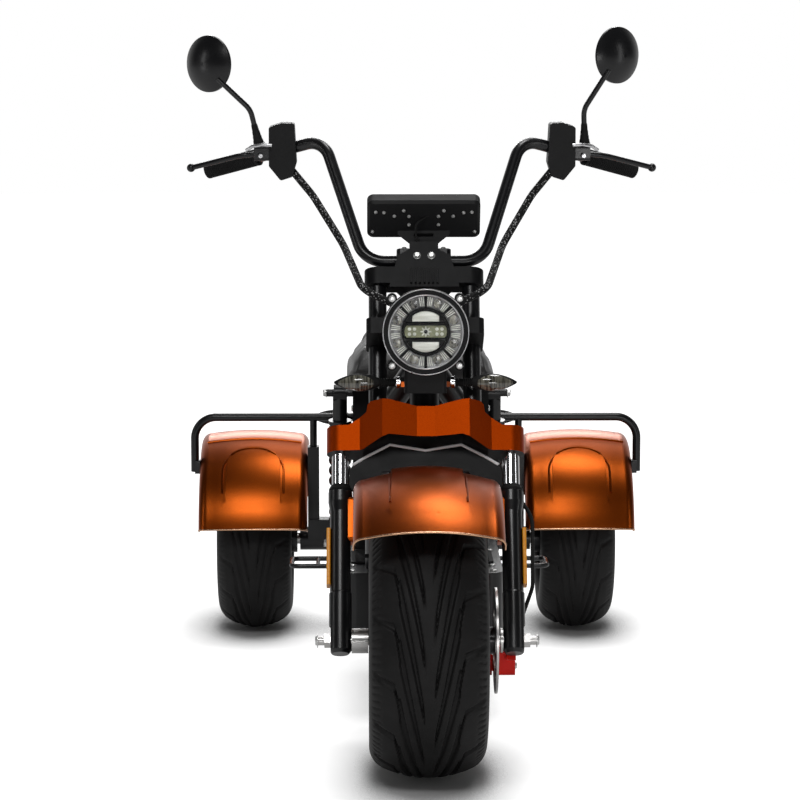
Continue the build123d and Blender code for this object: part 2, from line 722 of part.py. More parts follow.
def leaf_signal(side, root, axis_point):
    """A leaf-shaped turn signal on a thin stalk, turned about an axis across the scooter."""
    stalk_end = root + 0.36 * SIGNAL_LENGTH
    widest = root + 0.62 * SIGNAL_LENGTH
    tip = root + SIGNAL_LENGTH
    with BuildPart() as signal:
        with BuildSketch(radial(0, axis_point[1], axis_point[2], 90)):
            with BuildLine():
                Polyline(
                    (side * root, 0),
                    (side * root, SIGNAL_STALK + 5),
                    (side * (root + 9), SIGNAL_STALK + 5),
                    (side * (root + 9), SIGNAL_STALK),
                    (side * stalk_end, SIGNAL_STALK),
                )
                ThreePointArc(
                    (side * stalk_end, SIGNAL_STALK),
                    (side * (stalk_end + widest) / 2, 0.86 * SIGNAL_RADIUS),
                    (side * widest, SIGNAL_RADIUS),
                )
                ThreePointArc(
                    (side * widest, SIGNAL_RADIUS),
                    (side * (0.4 * widest + 0.6 * tip), 0.68 * SIGNAL_RADIUS),
                    (side * tip, 2),
                )
                Polyline((side * tip, 2), (side * tip, 0), (side * root, 0))
            make_face()
        revolve(axis=Axis((0, axis_point[1], axis_point[2]), (1, 0, 0)))
    return signal.part


with BuildPart() as front_signals:
    for _, side in SIDES:
        add(leaf_signal(side, SIGNAL_BLOCK / 2, lamp(0, SIGNAL_BEHIND, -SIGNAL_DROP)))
save(front_signals.part, "front_signals")


# Handlebar, from the right grip down to the risers and up to the left grip
def bar_points(side):
    """The bar's corners on one side, from the risers out."""
    return (
        bar(side * BAR_LOW_X, 0, 0),
        bar(side * BAR_CREST[0], BAR_CREST[1], BAR_CREST[2]),
        bar(side * BAR_END[0], BAR_END[1], BAR_END[2]),
    )


bar_run = (*reversed(bar_points(-1)), *bar_points(1))
bar_bends = (BAR_BEND, BAR_BEND, BAR_BEND, BAR_BEND)
handlebar = tube(bar_run, bar_bends, BAR_DIAMETER)
save(handlebar, "handlebar")
bar_bore = tube(bar_run, bar_bends, BAR_DIAMETER + 2 * SEAT_FIT)

with BuildPart() as bar_risers:
    with BuildSketch(FORK.offset(UPPER_CLAMP_TOP)):
        with Locations((RISER_X, BAR_BACK), (-RISER_X, BAR_BACK)):
            RectangleRounded(28, 40, 8)
    extrude(amount=BAR_RISE + BAR_DIAMETER / 2 + 7)
    add(bar_bore, mode=Mode.SUBTRACT)
save(bar_risers.part, "bar_risers")

grips = []
for _, side in SIDES:
    crest = Vector(*bar_points(side)[1])
    end = Vector(*bar_points(side)[2])
    along = (end - crest).normalized()
    grips.append(tube((end - along * (GRIP_LENGTH - 5), end + along * 5), None, GRIP_DIAMETER))
with BuildPart() as bar_grips:
    add(grips)
    add(bar_bore, mode=Mode.SUBTRACT)
save(bar_grips.part, "bar_grips")

# Control housings: x, height over the low run
HOUSING_BEHIND = 173
HOUSING_OUTLINE = (
    (HOUSING_INNER + 4, 246),
    (HOUSING_INNER + 28, 247),
    (HOUSING_OUTER, 239),
    (HOUSING_OUTER, 166),
    (HOUSING_INNER + 30, 139),
    (HOUSING_INNER + 8, 146),
    (HOUSING_INNER, 172),
)
with BuildPart() as control_housings:
    for side in (1, -1):
        with BuildSketch(Plane(origin=bar(0, HOUSING_BEHIND, 0), x_dir=(1, 0, 0), z_dir=(0, -1, 0))):
            with BuildLine():
                Polyline(*((side * x, z) for x, z in HOUSING_OUTLINE), close=True)
            make_face()
        extrude(amount=HOUSING_DEPTH / 2, both=True)
    fillet(control_housings.edges().filter_by(Axis.Y), 5)
    add(bar_bore, mode=Mode.SUBTRACT)
save(control_housings.part, "control_housings")

LEVER_PIVOT = (HOUSING_OUTER + 15, 159, 189)
LEVER_KNEE = (345, 161, 185)
LEVER_BALL = (437, 199, 160)
LEVER_PLACES = (LEVER_PIVOT, LEVER_KNEE, LEVER_BALL)
lever_rods = []
for _, side in SIDES:
    lever_path = [bar(side * x, behind, above) for x, behind, above in LEVER_PLACES]
    lever_rods.append(tube(lever_path, (60,), LEVER_DIAMETER))
with BuildPart() as brake_levers:
    add(lever_rods)
    for side in (1, -1):
        with Locations(bar(side * LEVER_BALL[0], LEVER_BALL[1], LEVER_BALL[2])):
            Sphere(LEVER_DIAMETER / 2 + 3)
        with BuildSketch(across(side * HOUSING_OUTER, bar_centre.Y + 161, bar_centre.Z + 190)):
            RectangleRounded(26, 28, 5)
        extrude(amount=side * PERCH_LENGTH)
save(brake_levers.part, "brake_levers")

# Mirrors, each turned by hand: side, x, height over the low run, x of the stem's bend
MIRROR_PLACES = ((1, 364, 373, 303), (-1, 398, 357, 322))
MIRROR_BEHIND = 163
dome_radius = (MIRROR_RADIUS**2 + MIRROR_DOME**2) / (2 * MIRROR_DOME)
dome_top = MIRROR_RIM + MIRROR_DOME
dome_drop = dome_radius - sqrt(dome_radius**2 - (MIRROR_RADIUS / 2) ** 2)
dome_middle = (MIRROR_RADIUS / 2, dome_top - dome_drop)
mirror_stems = []
mirror_faces = []
for side, mirror_x, mirror_up, bend_x in MIRROR_PLACES:
    facing = (-side * sin(radians(MIRROR_YAW)), cos(radians(MIRROR_YAW)), 0)
    face = Plane(origin=bar(side * mirror_x, MIRROR_BEHIND, mirror_up), x_dir=(0, 0, 1), z_dir=facing)
    mirror_faces.append(face)
    stem_path = (
        bar(side * (HOUSING_OUTER + 18), 161, 204),
        bar(side * bend_x, 149, 272),
        face.from_local_coords((-MIRROR_RADIUS / 2, -side * 0.55 * MIRROR_RADIUS, -MIRROR_RIM - 7.5)),
    )
    mirror_stems.append(tube(stem_path, (40,), LEVER_DIAMETER))
with BuildPart() as mirrors:
    add(mirror_stems)
    add(brake_levers.part, mode=Mode.SUBTRACT)
    for face in mirror_faces:
        with BuildSketch(Plane(origin=face.origin, x_dir=face.x_dir, z_dir=face.y_dir)):
            with BuildLine():
                Polyline((MIRROR_RADIUS, MIRROR_RIM), (MIRROR_RADIUS, 0), (0, 0), (0, dome_top))
                ThreePointArc((0, dome_top), dome_middle, (MIRROR_RADIUS, MIRROR_RIM))
            make_face()
        revolve(axis=Axis(face.origin, face.z_dir))
save(mirrors.part, "mirrors")

with BuildPart() as mirror_glass:
    for face in mirror_faces:
        with BuildSketch(face):
            Circle(MIRROR_RADIUS - 3)
        extrude(amount=2)
save(mirror_glass.part, "mirror_glass")

# Dash, leaning its screen up towards the rider
dash_face = Plane(
    origin=bar(0, 3, 76),
    x_dir=(1, 0, 0),
    z_dir=(0, -cos(radians(DASH_LEAN)), -sin(radians(DASH_LEAN))),
)
with BuildPart() as dash_panel:
    with BuildSketch(dash_face):
        RectangleRounded(DASH_WIDTH, DASH_HEIGHT, 12)
    extrude(amount=-DASH_DEPTH)
    front_edges = dash_panel.faces().sort_by(Axis(dash_face.origin, dash_face.z_dir))[-1].edges()
    chamfer(front_edges, 5)
save(dash_panel.part, "dash_panel")

with BuildPart() as dash_screen:
    with BuildSketch(dash_face.offset(-DASH_DEPTH)):
        RectangleRounded(DASH_WIDTH - 30, DASH_HEIGHT - 20, 6)
    extrude(amount=-2)
save(dash_screen.part, "dash_screen")

# The dash's Y bracket, and the plate that it stands on in front of the upper clamp
PLATE_THICKNESS = 6
with BuildPart() as bracket_outline:
    with BuildSketch(Plane(origin=bar(0, 0, 0), x_dir=(1, 0, 0), z_dir=(0, -1, 0))):
        with BuildLine():
            Polyline(
                (-26, -25),
                (26, -25),
                (26, 32),
                (48, 49),
                (48, 80),
                (-48, 80),
                (-48, 49),
                (-26, 32),
                close=True,
            )
        make_face()
        with Locations((0, 48)):
            Rectangle(36, 6, mode=Mode.SUBTRACT)
    extrude(amount=80, both=True)
with BuildPart() as dash_bracket:
    with BuildSketch(across(-48, bar_centre.Y, bar_centre.Z)):
        Polygon((-9, -12), (7, -18), (39, 44), (23, 64), (13, 58), align=None)
    extrude(amount=96)
    add(bracket_outline.part, mode=Mode.INTERSECT)
    with BuildSketch(FORK_FACE.offset(UPPER_CLAMP_DEPTH / 2)):
        with BuildLine():
            Polyline(
                (-64, UPPER_CLAMP_BOTTOM - 10),
                (64, UPPER_CLAMP_BOTTOM - 10),
                (48, UPPER_CLAMP_TOP + 20),
                (26, UPPER_CLAMP_TOP + 32),
                (26, UPPER_CLAMP_TOP + 47),
                (-26, UPPER_CLAMP_TOP + 47),
                (-26, UPPER_CLAMP_TOP + 32),
                (-48, UPPER_CLAMP_TOP + 20),
                close=True,
            )
        make_face()
    extrude(amount=PLATE_THICKNESS)
    with BuildSketch(FORK_FACE.offset(-BAR_BACK)):
        with Locations((0, UPPER_CLAMP_TOP + 42)):
            Rectangle(52, 10)
    extrude(amount=BAR_BACK + UPPER_CLAMP_DEPTH / 2)
    add(dash_panel.part, mode=Mode.SUBTRACT)
    add(bar_risers.part, mode=Mode.SUBTRACT)
    add(bar_bore, mode=Mode.SUBTRACT)
save(dash_bracket.part, "dash_bracket")

dash_lead_run = tube(
    (bar(12, 4, 86), bar(-16, -12, 70), bar(-14, -14, 42), bar(8, -12, 24)),
    (14, 12),
    DASH_LEAD,
)
with BuildPart() as dash_lead:
    add(dash_lead_run)
    add(dash_panel.part, mode=Mode.SUBTRACT)
    add(dash_bracket.part, mode=Mode.SUBTRACT)
save(dash_lead.part, "dash_lead")

# Hoses
hose_runs = []
for _, side in SIDES:
    hose_path = (
        bar(side * 252, 163, 166),
        bar(side * 205, 141, 111),
        bar(side * 148, 61, 26),
        lamp(side * 112, 90, 67),
        lamp(side * 34, 64, 33),
    )
    hose_runs.append(tube(hose_path, (60, 90, 50), CONTROL_HOSE))
with BuildPart() as control_hoses:
    add(hose_runs)
    add(headlight_shell.part, mode=Mode.SUBTRACT)
    add(control_housings.part, mode=Mode.SUBTRACT)
    with BuildSketch(lamp_face.offset(-60)):
        Circle(34)
    extrude(amount=-30, mode=Mode.SUBTRACT)
save(control_hoses.part, "control_hoses")

brake_run = tube(
    (
        fork(LEG_X - 48, 24, CLAMP_BOTTOM + 27),
        fork(LEG_X - 12, 58, CLAMP_BOTTOM - 15),
        fork(LEG_X + 39, 44, SLIDER_TOP - 36),
        fork(LEG_X + 37, 42, SLIDER_TOP - 166),
        (DISC_X + 28, FRONT_AXLE_Y + CALIPER_BEHIND + 4, FRONT_RADIUS - CALIPER_BELOW + 7),
    ),
    (26, 60, 40),
    BRAKE_HOSE,
)
with BuildPart() as brake_hose:
    add(brake_run)
    add(lower_clamp.part, mode=Mode.SUBTRACT)
    add(front_caliper.part, mode=Mode.SUBTRACT)
save(brake_hose.part, "brake_hose")

# Deck: a closed steel box with the battery inside
deck_middle = (DECK_FRONT + DECK_REAR) / 2
with BuildPart() as deck_outer:
    with BuildSketch(level(DECK_BOTTOM)):
        with Locations((0, deck_middle)):
            RectangleRounded(2 * DECK_HALF_WIDTH, DECK_LENGTH, 25)
    extrude(amount=DECK_HEIGHT)
with BuildPart() as deck_box:
    add(deck_outer.part)
    with BuildSketch(level(DECK_BOTTOM + DECK_WALL)):
        with Locations((0, deck_middle)):
            RectangleRounded(2 * (DECK_HALF_WIDTH - DECK_WALL), DECK_LENGTH - 2 * DECK_WALL, 25 - DECK_WALL)
    extrude(amount=DECK_HEIGHT - 2 * DECK_WALL, mode=Mode.SUBTRACT)
save(deck_box.part, "deck_box")

with BuildPart() as battery_pack:
    with BuildSketch(level(DECK_BOTTOM + DECK_WALL)):
        with Locations((0, deck_middle)):
            Rectangle(2 * DECK_HALF_WIDTH - 60, DECK_LENGTH - 80)
    extrude(amount=BATTERY_HEIGHT)
save(battery_pack.part, "battery_pack")

with BuildPart() as deck_mat:
    with BuildSketch(level(DECK_TOP)):
        with Locations((0, BASE_FRONT - 25 - MAT_LENGTH / 2)):
            RectangleRounded(2 * DECK_HALF_WIDTH - 30, MAT_LENGTH, 12)
    extrude(amount=MAT_THICKNESS)
save(deck_mat.part, "deck_mat")

# Frame: head tube and twin down tubes that stand on the deck
HEAD_BOTTOM = CLAMP_SHOULDER + MOVING_GAP
HEAD_TOP = UPPER_CLAMP_BOTTOM - MOVING_GAP
down_tubes = []
for _, side in SIDES:
    down_path = (
        fork(side * 10, 49.5, 537),
        fork(side * DOWN_TUBE_X, 147, 458.5),
        spot(side * DOWN_TUBE_X, DECK_FRONT + 72, DECK_BOTTOM + 57),
    )
    down_tubes.append(tube(down_path, (60,), DOWN_TUBE))
with BuildPart() as main_frame:
    with BuildSketch(FORK.offset(HEAD_BOTTOM)):
        with Locations((0, FORK_OFFSET)):
            Circle(HEAD_TUBE_DIAMETER / 2)
    extrude(amount=HEAD_TOP - HEAD_BOTTOM)
    add(down_tubes)
    with BuildSketch(FORK.offset(HEAD_BOTTOM - 40)):
        with Locations((0, FORK_OFFSET)):
            Circle(STEM_DIAMETER / 2 + RUNNING_FIT)
    extrude(amount=HEAD_TOP - HEAD_BOTTOM + 80, mode=Mode.SUBTRACT)
    add(deck_outer.part, mode=Mode.SUBTRACT)
save(main_frame.part, "main_frame")

with BuildPart() as seat_base:
    with BuildSketch(across(-BASE_HALF_WIDTH, FRONT_AXLE_Y, 0)):
        Polygon(
            (BASE_FRONT, DECK_TOP),
            (DECK_REAR - 30, DECK_TOP),
            (DECK_REAR + 100, DECK_TOP + 110),
            (BASE_REAR, DECK_TOP + 130),
            (BASE_REAR, BASE_TOP - 30),
            (BASE_REAR - 25, BASE_TOP),
            (BASE_FRONT + 45, BASE_TOP),
            align=None,
        )
    extrude(amount=2 * BASE_HALF_WIDTH)
    with BuildSketch(level(DECK_TOP)):
        with Locations((0, (BASE_FRONT + BASE_REAR) / 2)):
            RectangleRounded(2 * BASE_HALF_WIDTH, BASE_REAR - BASE_FRONT, BASE_CORNER)
    extrude(amount=BASE_HEIGHT, mode=Mode.INTERSECT)
save(seat_base.part, "seat_base")

# Seats: a side outline crossed with a domed section
SEAT_FRONT = BASE_FRONT - 18
SEAT_SPLIT = BASE_FRONT + 315
seat_top = BASE_TOP + SEAT_HEIGHT
seat_nose = (SEAT_FRONT, BASE_TOP + 16)
seat_brow = (SEAT_FRONT, BASE_TOP + 46)
seat_dip = (SEAT_FRONT + 168, seat_top - 19)
lip = SEAT_HALF_WIDTH
crown = SEAT_HALF_WIDTH - 62
with BuildPart() as rider_seat:
    with BuildSketch(across(-SEAT_HALF_WIDTH, FRONT_AXLE_Y, 0)):
        with BuildLine():
            Polyline((SEAT_SPLIT, BASE_TOP), (SEAT_FRONT + 28, BASE_TOP), seat_nose, seat_brow)
            ThreePointArc(seat_brow, (SEAT_FRONT + 68, seat_top - 24), seat_dip)
            ThreePointArc(seat_dip, (SEAT_SPLIT - 75, seat_top - 14), (SEAT_SPLIT, seat_top))
            Line((SEAT_SPLIT, seat_top), (SEAT_SPLIT, BASE_TOP))
        make_face()
    extrude(amount=2 * SEAT_HALF_WIDTH)
    with BuildSketch(Plane(origin=spot(0, SEAT_FRONT, BASE_TOP), x_dir=(1, 0, 0), z_dir=(0, -1, 0))):
        with BuildLine():
            Polyline((-lip, 26), (-lip, 0), (lip, 0), (lip, 26))
            for side in (1, -1):
                Line((side * lip, 26), (side * (lip - 18), 38))
                ThreePointArc(
                    (side * (lip - 18), 38),
                    (side * (lip - 30), SEAT_HEIGHT - 32),
                    (side * crown, SEAT_HEIGHT - 4),
                )
            ThreePointArc((crown, SEAT_HEIGHT - 4), (0, SEAT_HEIGHT + 6), (-crown, SEAT_HEIGHT - 4))
        make_face()
    extrude(amount=-(SEAT_SPLIT - SEAT_FRONT), mode=Mode.INTERSECT)
save(rider_seat.part, "rider_seat")

PILLION_FRONT = SEAT_SPLIT + 0.5
PILLION_REAR = BASE_REAR + 5
pillion_top = BASE_TOP + PILLION_HEIGHT
pillion_foot = (PILLION_REAR - 10, BASE_TOP)
pillion_back = (PILLION_REAR, pillion_top - 28)
pillion_edge = PILLION_HEIGHT - 40
with BuildPart() as passenger_seat:
    with BuildSketch(across(-PILLION_HALF_WIDTH, FRONT_AXLE_Y, 0)):
        with BuildLine():
            Polyline(pillion_foot, (PILLION_FRONT, BASE_TOP), (PILLION_FRONT, pillion_top - 16))
            ThreePointArc(
                (PILLION_FRONT, pillion_top - 16),
                ((PILLION_FRONT + PILLION_REAR) / 2, pillion_top),
                pillion_back,
            )
            Polyline(pillion_back, (PILLION_REAR, BASE_TOP + 20), pillion_foot)
        make_face()
    extrude(amount=2 * PILLION_HALF_WIDTH)
    with BuildSketch(Plane(origin=spot(0, PILLION_FRONT, BASE_TOP), x_dir=(1, 0, 0), z_dir=(0, -1, 0))):
        with BuildLine():
            Polyline(
                (-PILLION_HALF_WIDTH, pillion_edge),
                (-PILLION_HALF_WIDTH, 0),
                (PILLION_HALF_WIDTH, 0),
                (PILLION_HALF_WIDTH, pillion_edge),
            )
            ThreePointArc(
                (PILLION_HALF_WIDTH, pillion_edge),
                (0, PILLION_HEIGHT + 4),
                (-PILLION_HALF_WIDTH, pillion_edge),
            )
        make_face()
    extrude(amount=-(PILLION_REAR - PILLION_FRONT), mode=Mode.INTERSECT)
save(passenger_seat.part, "passenger_seat")

# Rear suspension and drive
ARM_OUTER = BASE_HALF_WIDTH
TUBE_END = WHEEL_X - 95
HOOP_PLANE = WHEELBASE - HOOP_AHEAD
BEAM_BOTTOM = REAR_RADIUS + 20
UPRIGHT_OUTER = WHEEL_X - REAR_FENDER_WIDTH / 2
UPRIGHT_X = UPRIGHT_OUTER - UPRIGHT_WIDTH / 2
UPRIGHT_TOP = REAR_RADIUS + REAR_FENDER_RADIUS - 18
with BuildPart() as swing_arm:
    for side in (1, -1):
        with BuildSketch(across(side * (ARM_OUTER - ARM_WIDTH), FRONT_AXLE_Y, 0)):
            Polygon(
                (DECK_REAR, DECK_BOTTOM + 27),
                (DECK_REAR, DECK_BOTTOM + 69),
                (WHEELBASE, REAR_RADIUS + 20),
                (WHEELBASE, REAR_RADIUS - 20),
                align=None,
            )
        extrude(amount=side * ARM_WIDTH)
        with BuildSketch(level(BEAM_BOTTOM + BEAM_HEIGHT)):
            with Locations((side * UPRIGHT_X, HOOP_PLANE)):
                Rectangle(UPRIGHT_WIDTH, 30)
        extrude(amount=UPRIGHT_TOP - BEAM_BOTTOM - BEAM_HEIGHT)
    with BuildSketch(level(BEAM_BOTTOM)):
        with Locations((0, HOOP_PLANE)):
            Rectangle(2 * UPRIGHT_OUTER, BEAM_DEPTH)
    extrude(amount=BEAM_HEIGHT)
    with BuildSketch(across(-TUBE_END, REAR_AXLE_Y, REAR_RADIUS)):
        Circle(AXLE_TUBE / 2 + SEAT_FIT)
    extrude(amount=2 * TUBE_END, mode=Mode.SUBTRACT)
save(swing_arm.part, "swing_arm")

with BuildPart() as drive_axle:
    with BuildSketch(across(-MOTOR_HALF_WIDTH, REAR_AXLE_Y, REAR_RADIUS)):
        Circle(MOTOR_RADIUS)
    extrude(amount=2 * MOTOR_HALF_WIDTH)
    with BuildSketch(across(-TUBE_END, REAR_AXLE_Y, REAR_RADIUS)):
        Circle(AXLE_TUBE / 2)
    extrude(amount=2 * TUBE_END)
    for side in (1, -1):
        with BuildSketch(across(side * TUBE_END, REAR_AXLE_Y, REAR_RADIUS)):
            Circle(SHAFT_DIAMETER / 2 + RUNNING_FIT)
        extrude(amount=-side * 70, mode=Mode.SUBTRACT)
save(drive_axle.part, "drive_axle")

SHOCK_X = ARM_OUTER + SHOCK_ROOM
SHOCK_LOW = Vector(*spot(SHOCK_X, WHEELBASE - 175, REAR_RADIUS + 22))
SHOCK_HIGH = Vector(*spot(SHOCK_X, WHEELBASE - 205, BASE_TOP - 65))
shock_up = (SHOCK_HIGH - SHOCK_LOW).normalized()
shock_length = (SHOCK_HIGH - SHOCK_LOW).length
SPRING_TOP = SPRING_BOTTOM + 8 + SPRING_LENGTH
coil_pitch = SPRING_LENGTH / COILS
with BuildPart() as left_shock:
    with BuildSketch(Plane(origin=SHOCK_LOW, x_dir=(1, 0, 0), z_dir=Vector(1, 0, 0).cross(shock_up))):
        with BuildLine():
            Polyline(
                (0, 0),
                (12, 0),
                (12, SPRING_BOTTOM),
                (24, SPRING_BOTTOM),
                (24, SPRING_BOTTOM + 8),
                (17, SPRING_BOTTOM + 8),
            )
            for coil in range(COILS):
                low = SPRING_BOTTOM + 8 + coil * coil_pitch
                ThreePointArc((17, low), (24, low + coil_pitch / 2), (17, low + coil_pitch))
            Polyline(
                (17, SPRING_TOP),
                (24, SPRING_TOP),
                (24, SPRING_TOP + 8),
                (15, SPRING_TOP + 8),
                (15, shock_length),
                (0, shock_length),
                (0, 0),
            )
        make_face()
    revolve(axis=Axis(SHOCK_LOW, shock_up))
    for eye in (SHOCK_LOW, SHOCK_HIGH):
        with BuildSketch(across(ARM_OUTER, eye.Y, eye.Z)):
            Circle(8)
        extrude(amount=2 * SHOCK_ROOM)
        with BuildSketch(across(SHOCK_X - 13, eye.Y, eye.Z)):
            Circle(18)
        extrude(amount=26)
with BuildPart() as rear_shocks:
    add(left_shock.part)
    mirror(left_shock.part, about=Plane.YZ)
save(rear_shocks.part, "rear_shocks")

# Rear wheels, fenders and hoops, one set a side
REAR_HUB_END = WHEEL_X + 48
HOOP_HEIGHT = REAR_RADIUS + REAR_FENDER_RADIUS + HOOP_RISE
HOOP_X = WHEEL_X + REAR_FENDER_WIDTH / 2 + 11
fender_side = REAR_FENDER_RADIUS - REAR_FENDER_DROP - FENDER_CORNER - REAR_FENDER_SKIRT / 2
HOOP_FOOT = REAR_RADIUS + sqrt(fender_side**2 - HOOP_AHEAD**2)
hoop_bend = min(HOOP_BEND, 0.8 * (HOOP_HEIGHT - HOOP_FOOT))
for name, side in SIDES:
    rear_tyre = tyre(side * WHEEL_X, REAR_AXLE_Y, REAR_RADIUS, REAR_TYRE_WIDTH, REAR_RIM_DIAMETER)
    save(rear_tyre, f"rear_tyre_{name}")

    hub_ends = sorted((side * (TUBE_END + MOVING_GAP), side * REAR_HUB_END))
    rear_rim = rim(
        side * WHEEL_X,
        REAR_AXLE_Y,
        REAR_RADIUS,
        REAR_TYRE_WIDTH,
        REAR_RIM_DIAMETER,
        (hub_ends[0], hub_ends[1], 30),
        SHAFT_DIAMETER + 2 * SEAT_FIT,
        (side * (WHEEL_X + 28), 13, 22, 8),
    )
    save(rear_rim, f"rear_rim_{name}")

    with BuildPart() as rear_shaft:
        with BuildSketch(across(side * (TUBE_END - 64), REAR_AXLE_Y, REAR_RADIUS)):
            Circle(SHAFT_DIAMETER / 2)
        extrude(amount=side * (REAR_HUB_END + 12 - TUBE_END + 64))
        with BuildSketch(across(side * REAR_HUB_END, REAR_AXLE_Y, REAR_RADIUS)):
            RegularPolygon(SHAFT_DIAMETER / 2 + 7, 6)
        extrude(amount=side * 10)
    save(rear_shaft.part, f"rear_shaft_{name}")

    rear_fender = fender(
        side * WHEEL_X,
        REAR_AXLE_Y,
        REAR_RADIUS,
        REAR_FENDER_RADIUS,
        REAR_FENDER_WIDTH,
        REAR_FENDER_DROP,
        REAR_FENDER_SKIRT,
        REAR_FENDER_ANGLE,
        180 - REAR_FENDER_ANGLE,
        (64, 11, 27, 67),
    )
    save(rear_fender, f"rear_fender_{name}")

    hoop_run = tube(
        (
            spot(side * BASE_HALF_WIDTH, HOOP_PLANE, HOOP_HEIGHT),
            spot(side * HOOP_X, HOOP_PLANE, HOOP_HEIGHT),
            spot(side * HOOP_X, HOOP_PLANE, HOOP_FOOT - 10),
        ),
        (hoop_bend,),
        HOOP_DIAMETER,
    )
    with BuildPart() as fender_hoop:
        add(hoop_run)
        with BuildSketch(level(UPRIGHT_TOP)):
            with Locations((side * UPRIGHT_X, HOOP_PLANE)):
                Circle(HOOP_DIAMETER / 2 - 1)
        extrude(amount=HOOP_HEIGHT - UPRIGHT_TOP)
        with BuildSketch(across(side * (HOOP_X - 11), FRONT_AXLE_Y + HOOP_PLANE, HOOP_FOOT)):
            RectangleRounded(24, 28, 4)
        extrude(amount=side * 11)
    save(fender_hoop.part, f"fender_hoop_{name}")

# Passenger steps: rod loops on the deck's sides, with one cross rod
STEP_UP = DECK_BOTTOM + 60
STEP_REAR = DECK_REAR - 40
step_rods = []
for _, side in SIDES:
    step_path = (
        spot(side * DECK_HALF_WIDTH, STEP_REAR - STEP_LENGTH, STEP_UP),
        spot(side * (DECK_HALF_WIDTH + STEP_REACH), STEP_REAR - STEP_LENGTH, STEP_UP),
        spot(side * (DECK_HALF_WIDTH + STEP_REACH), STEP_REAR, STEP_UP),
        spot(side * DECK_HALF_WIDTH, STEP_REAR, STEP_UP),
    )
    step_rods.append(tube(step_path, (14, 14), STEP_DIAMETER))
with BuildPart() as passenger_steps:
    add(step_rods)
    for side in (1, -1):
        cross_x = side * (DECK_HALF_WIDTH + STEP_REACH / 2)
        with BuildSketch(Plane(origin=spot(cross_x, STEP_REAR - STEP_LENGTH, STEP_UP), z_dir=(0, 1, 0))):
            Circle(STEP_DIAMETER / 2 - 1)
        extrude(amount=STEP_LENGTH)
save(passenger_steps.part, "passenger_steps")

# Rear lamps on the back of the seat base
with BuildPart() as tail_lamp:
    with BuildSketch(Plane(origin=spot(0, BASE_REAR, BASE_TOP - 70), x_dir=(1, 0, 0), z_dir=(0, 1, 0))):
        RectangleRounded(TAIL_LAMP_WIDTH, TAIL_LAMP_HEIGHT, 14)
    extrude(amount=22)
save(tail_lamp.part, "tail_lamp")

REAR_SIGNAL_DOWN = 138
SIGNAL_ROOT = BASE_HALF_WIDTH - 37
with BuildPart() as rear_signals:
    for side in (1, -1):
        block = spot(side * SIGNAL_ROOT, BASE_REAR, BASE_TOP - REAR_SIGNAL_DOWN)
        stalk = spot(0, BASE_REAR + SIGNAL_RADIUS + 1, BASE_TOP - REAR_SIGNAL_DOWN)
        with BuildSketch(Plane(origin=block, x_dir=(1, 0, 0), z_dir=(0, 1, 0))):
            RectangleRounded(30, 30, 5)
        extrude(amount=34)
        add(leaf_signal(side, SIGNAL_ROOT, stalk))
save(rear_signals.part, "rear_signals")
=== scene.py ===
"""Looks for the three-wheeled electric scooter: materials, tread, saddle, lamp optics and small fittings."""

import json
import math

import bmesh
import bpy
import numpy as np
from mathutils import Matrix, Vector
from mathutils.bvhtree import BVHTree


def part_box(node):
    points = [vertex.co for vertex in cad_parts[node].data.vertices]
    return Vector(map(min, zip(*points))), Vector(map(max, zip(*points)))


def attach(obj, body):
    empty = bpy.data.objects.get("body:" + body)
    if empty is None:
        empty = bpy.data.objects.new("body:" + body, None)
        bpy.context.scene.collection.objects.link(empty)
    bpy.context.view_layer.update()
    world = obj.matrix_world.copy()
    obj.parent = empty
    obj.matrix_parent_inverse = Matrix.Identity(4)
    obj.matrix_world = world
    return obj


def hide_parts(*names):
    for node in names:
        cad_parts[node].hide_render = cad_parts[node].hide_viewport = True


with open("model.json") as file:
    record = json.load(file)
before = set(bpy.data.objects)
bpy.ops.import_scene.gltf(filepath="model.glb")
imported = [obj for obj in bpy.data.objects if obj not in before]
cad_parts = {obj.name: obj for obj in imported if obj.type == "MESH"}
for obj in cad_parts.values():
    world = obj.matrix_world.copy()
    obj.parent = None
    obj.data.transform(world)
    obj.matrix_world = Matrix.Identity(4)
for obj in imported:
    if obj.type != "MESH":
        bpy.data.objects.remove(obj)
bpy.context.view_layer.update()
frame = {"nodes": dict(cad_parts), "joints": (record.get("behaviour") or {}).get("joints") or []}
nodes = frame["nodes"]
scene = bpy.context.scene
RAKE = math.radians(28)
AXLE = Vector(next(j["pos_m"] for j in frame["joints"] if j["name"] == "front_wheel_spin"))
BACK = Vector((0, math.cos(RAKE), -math.sin(RAKE)))
UP = Vector((0, math.sin(RAKE), math.cos(RAKE)))
AHEAD, RIGHT, ABOVE = Vector((0, -1, 0)), Vector((1, 0, 0)), Vector((0, 0, 1))
WHEELBASE, AXLE_DROP = 1.250, 0.049
REAR_AXLE = AXLE + Vector((0, WHEELBASE, -AXLE_DROP))
LEG_X, WHEEL_X = 152.5, 343


def fork(x, back, up):
    """A point in the fork's frame, in millimetres from the front axle."""
    return AXLE + (Vector((x, 0, 0)) + BACK * back + UP * up) / 1000


BAR = fork(0, 10, 724)


def at_bar(x, behind, height):
    """A point in millimetres from the middle of the handlebar's low run."""
    return BAR + Vector((x, behind, height)) / 1000


def spot(x, behind, height):
    """A point in millimetres: across, behind the front axle, above the floor."""
    return Vector((x / 1000, AXLE.y + behind / 1000, height / 1000))


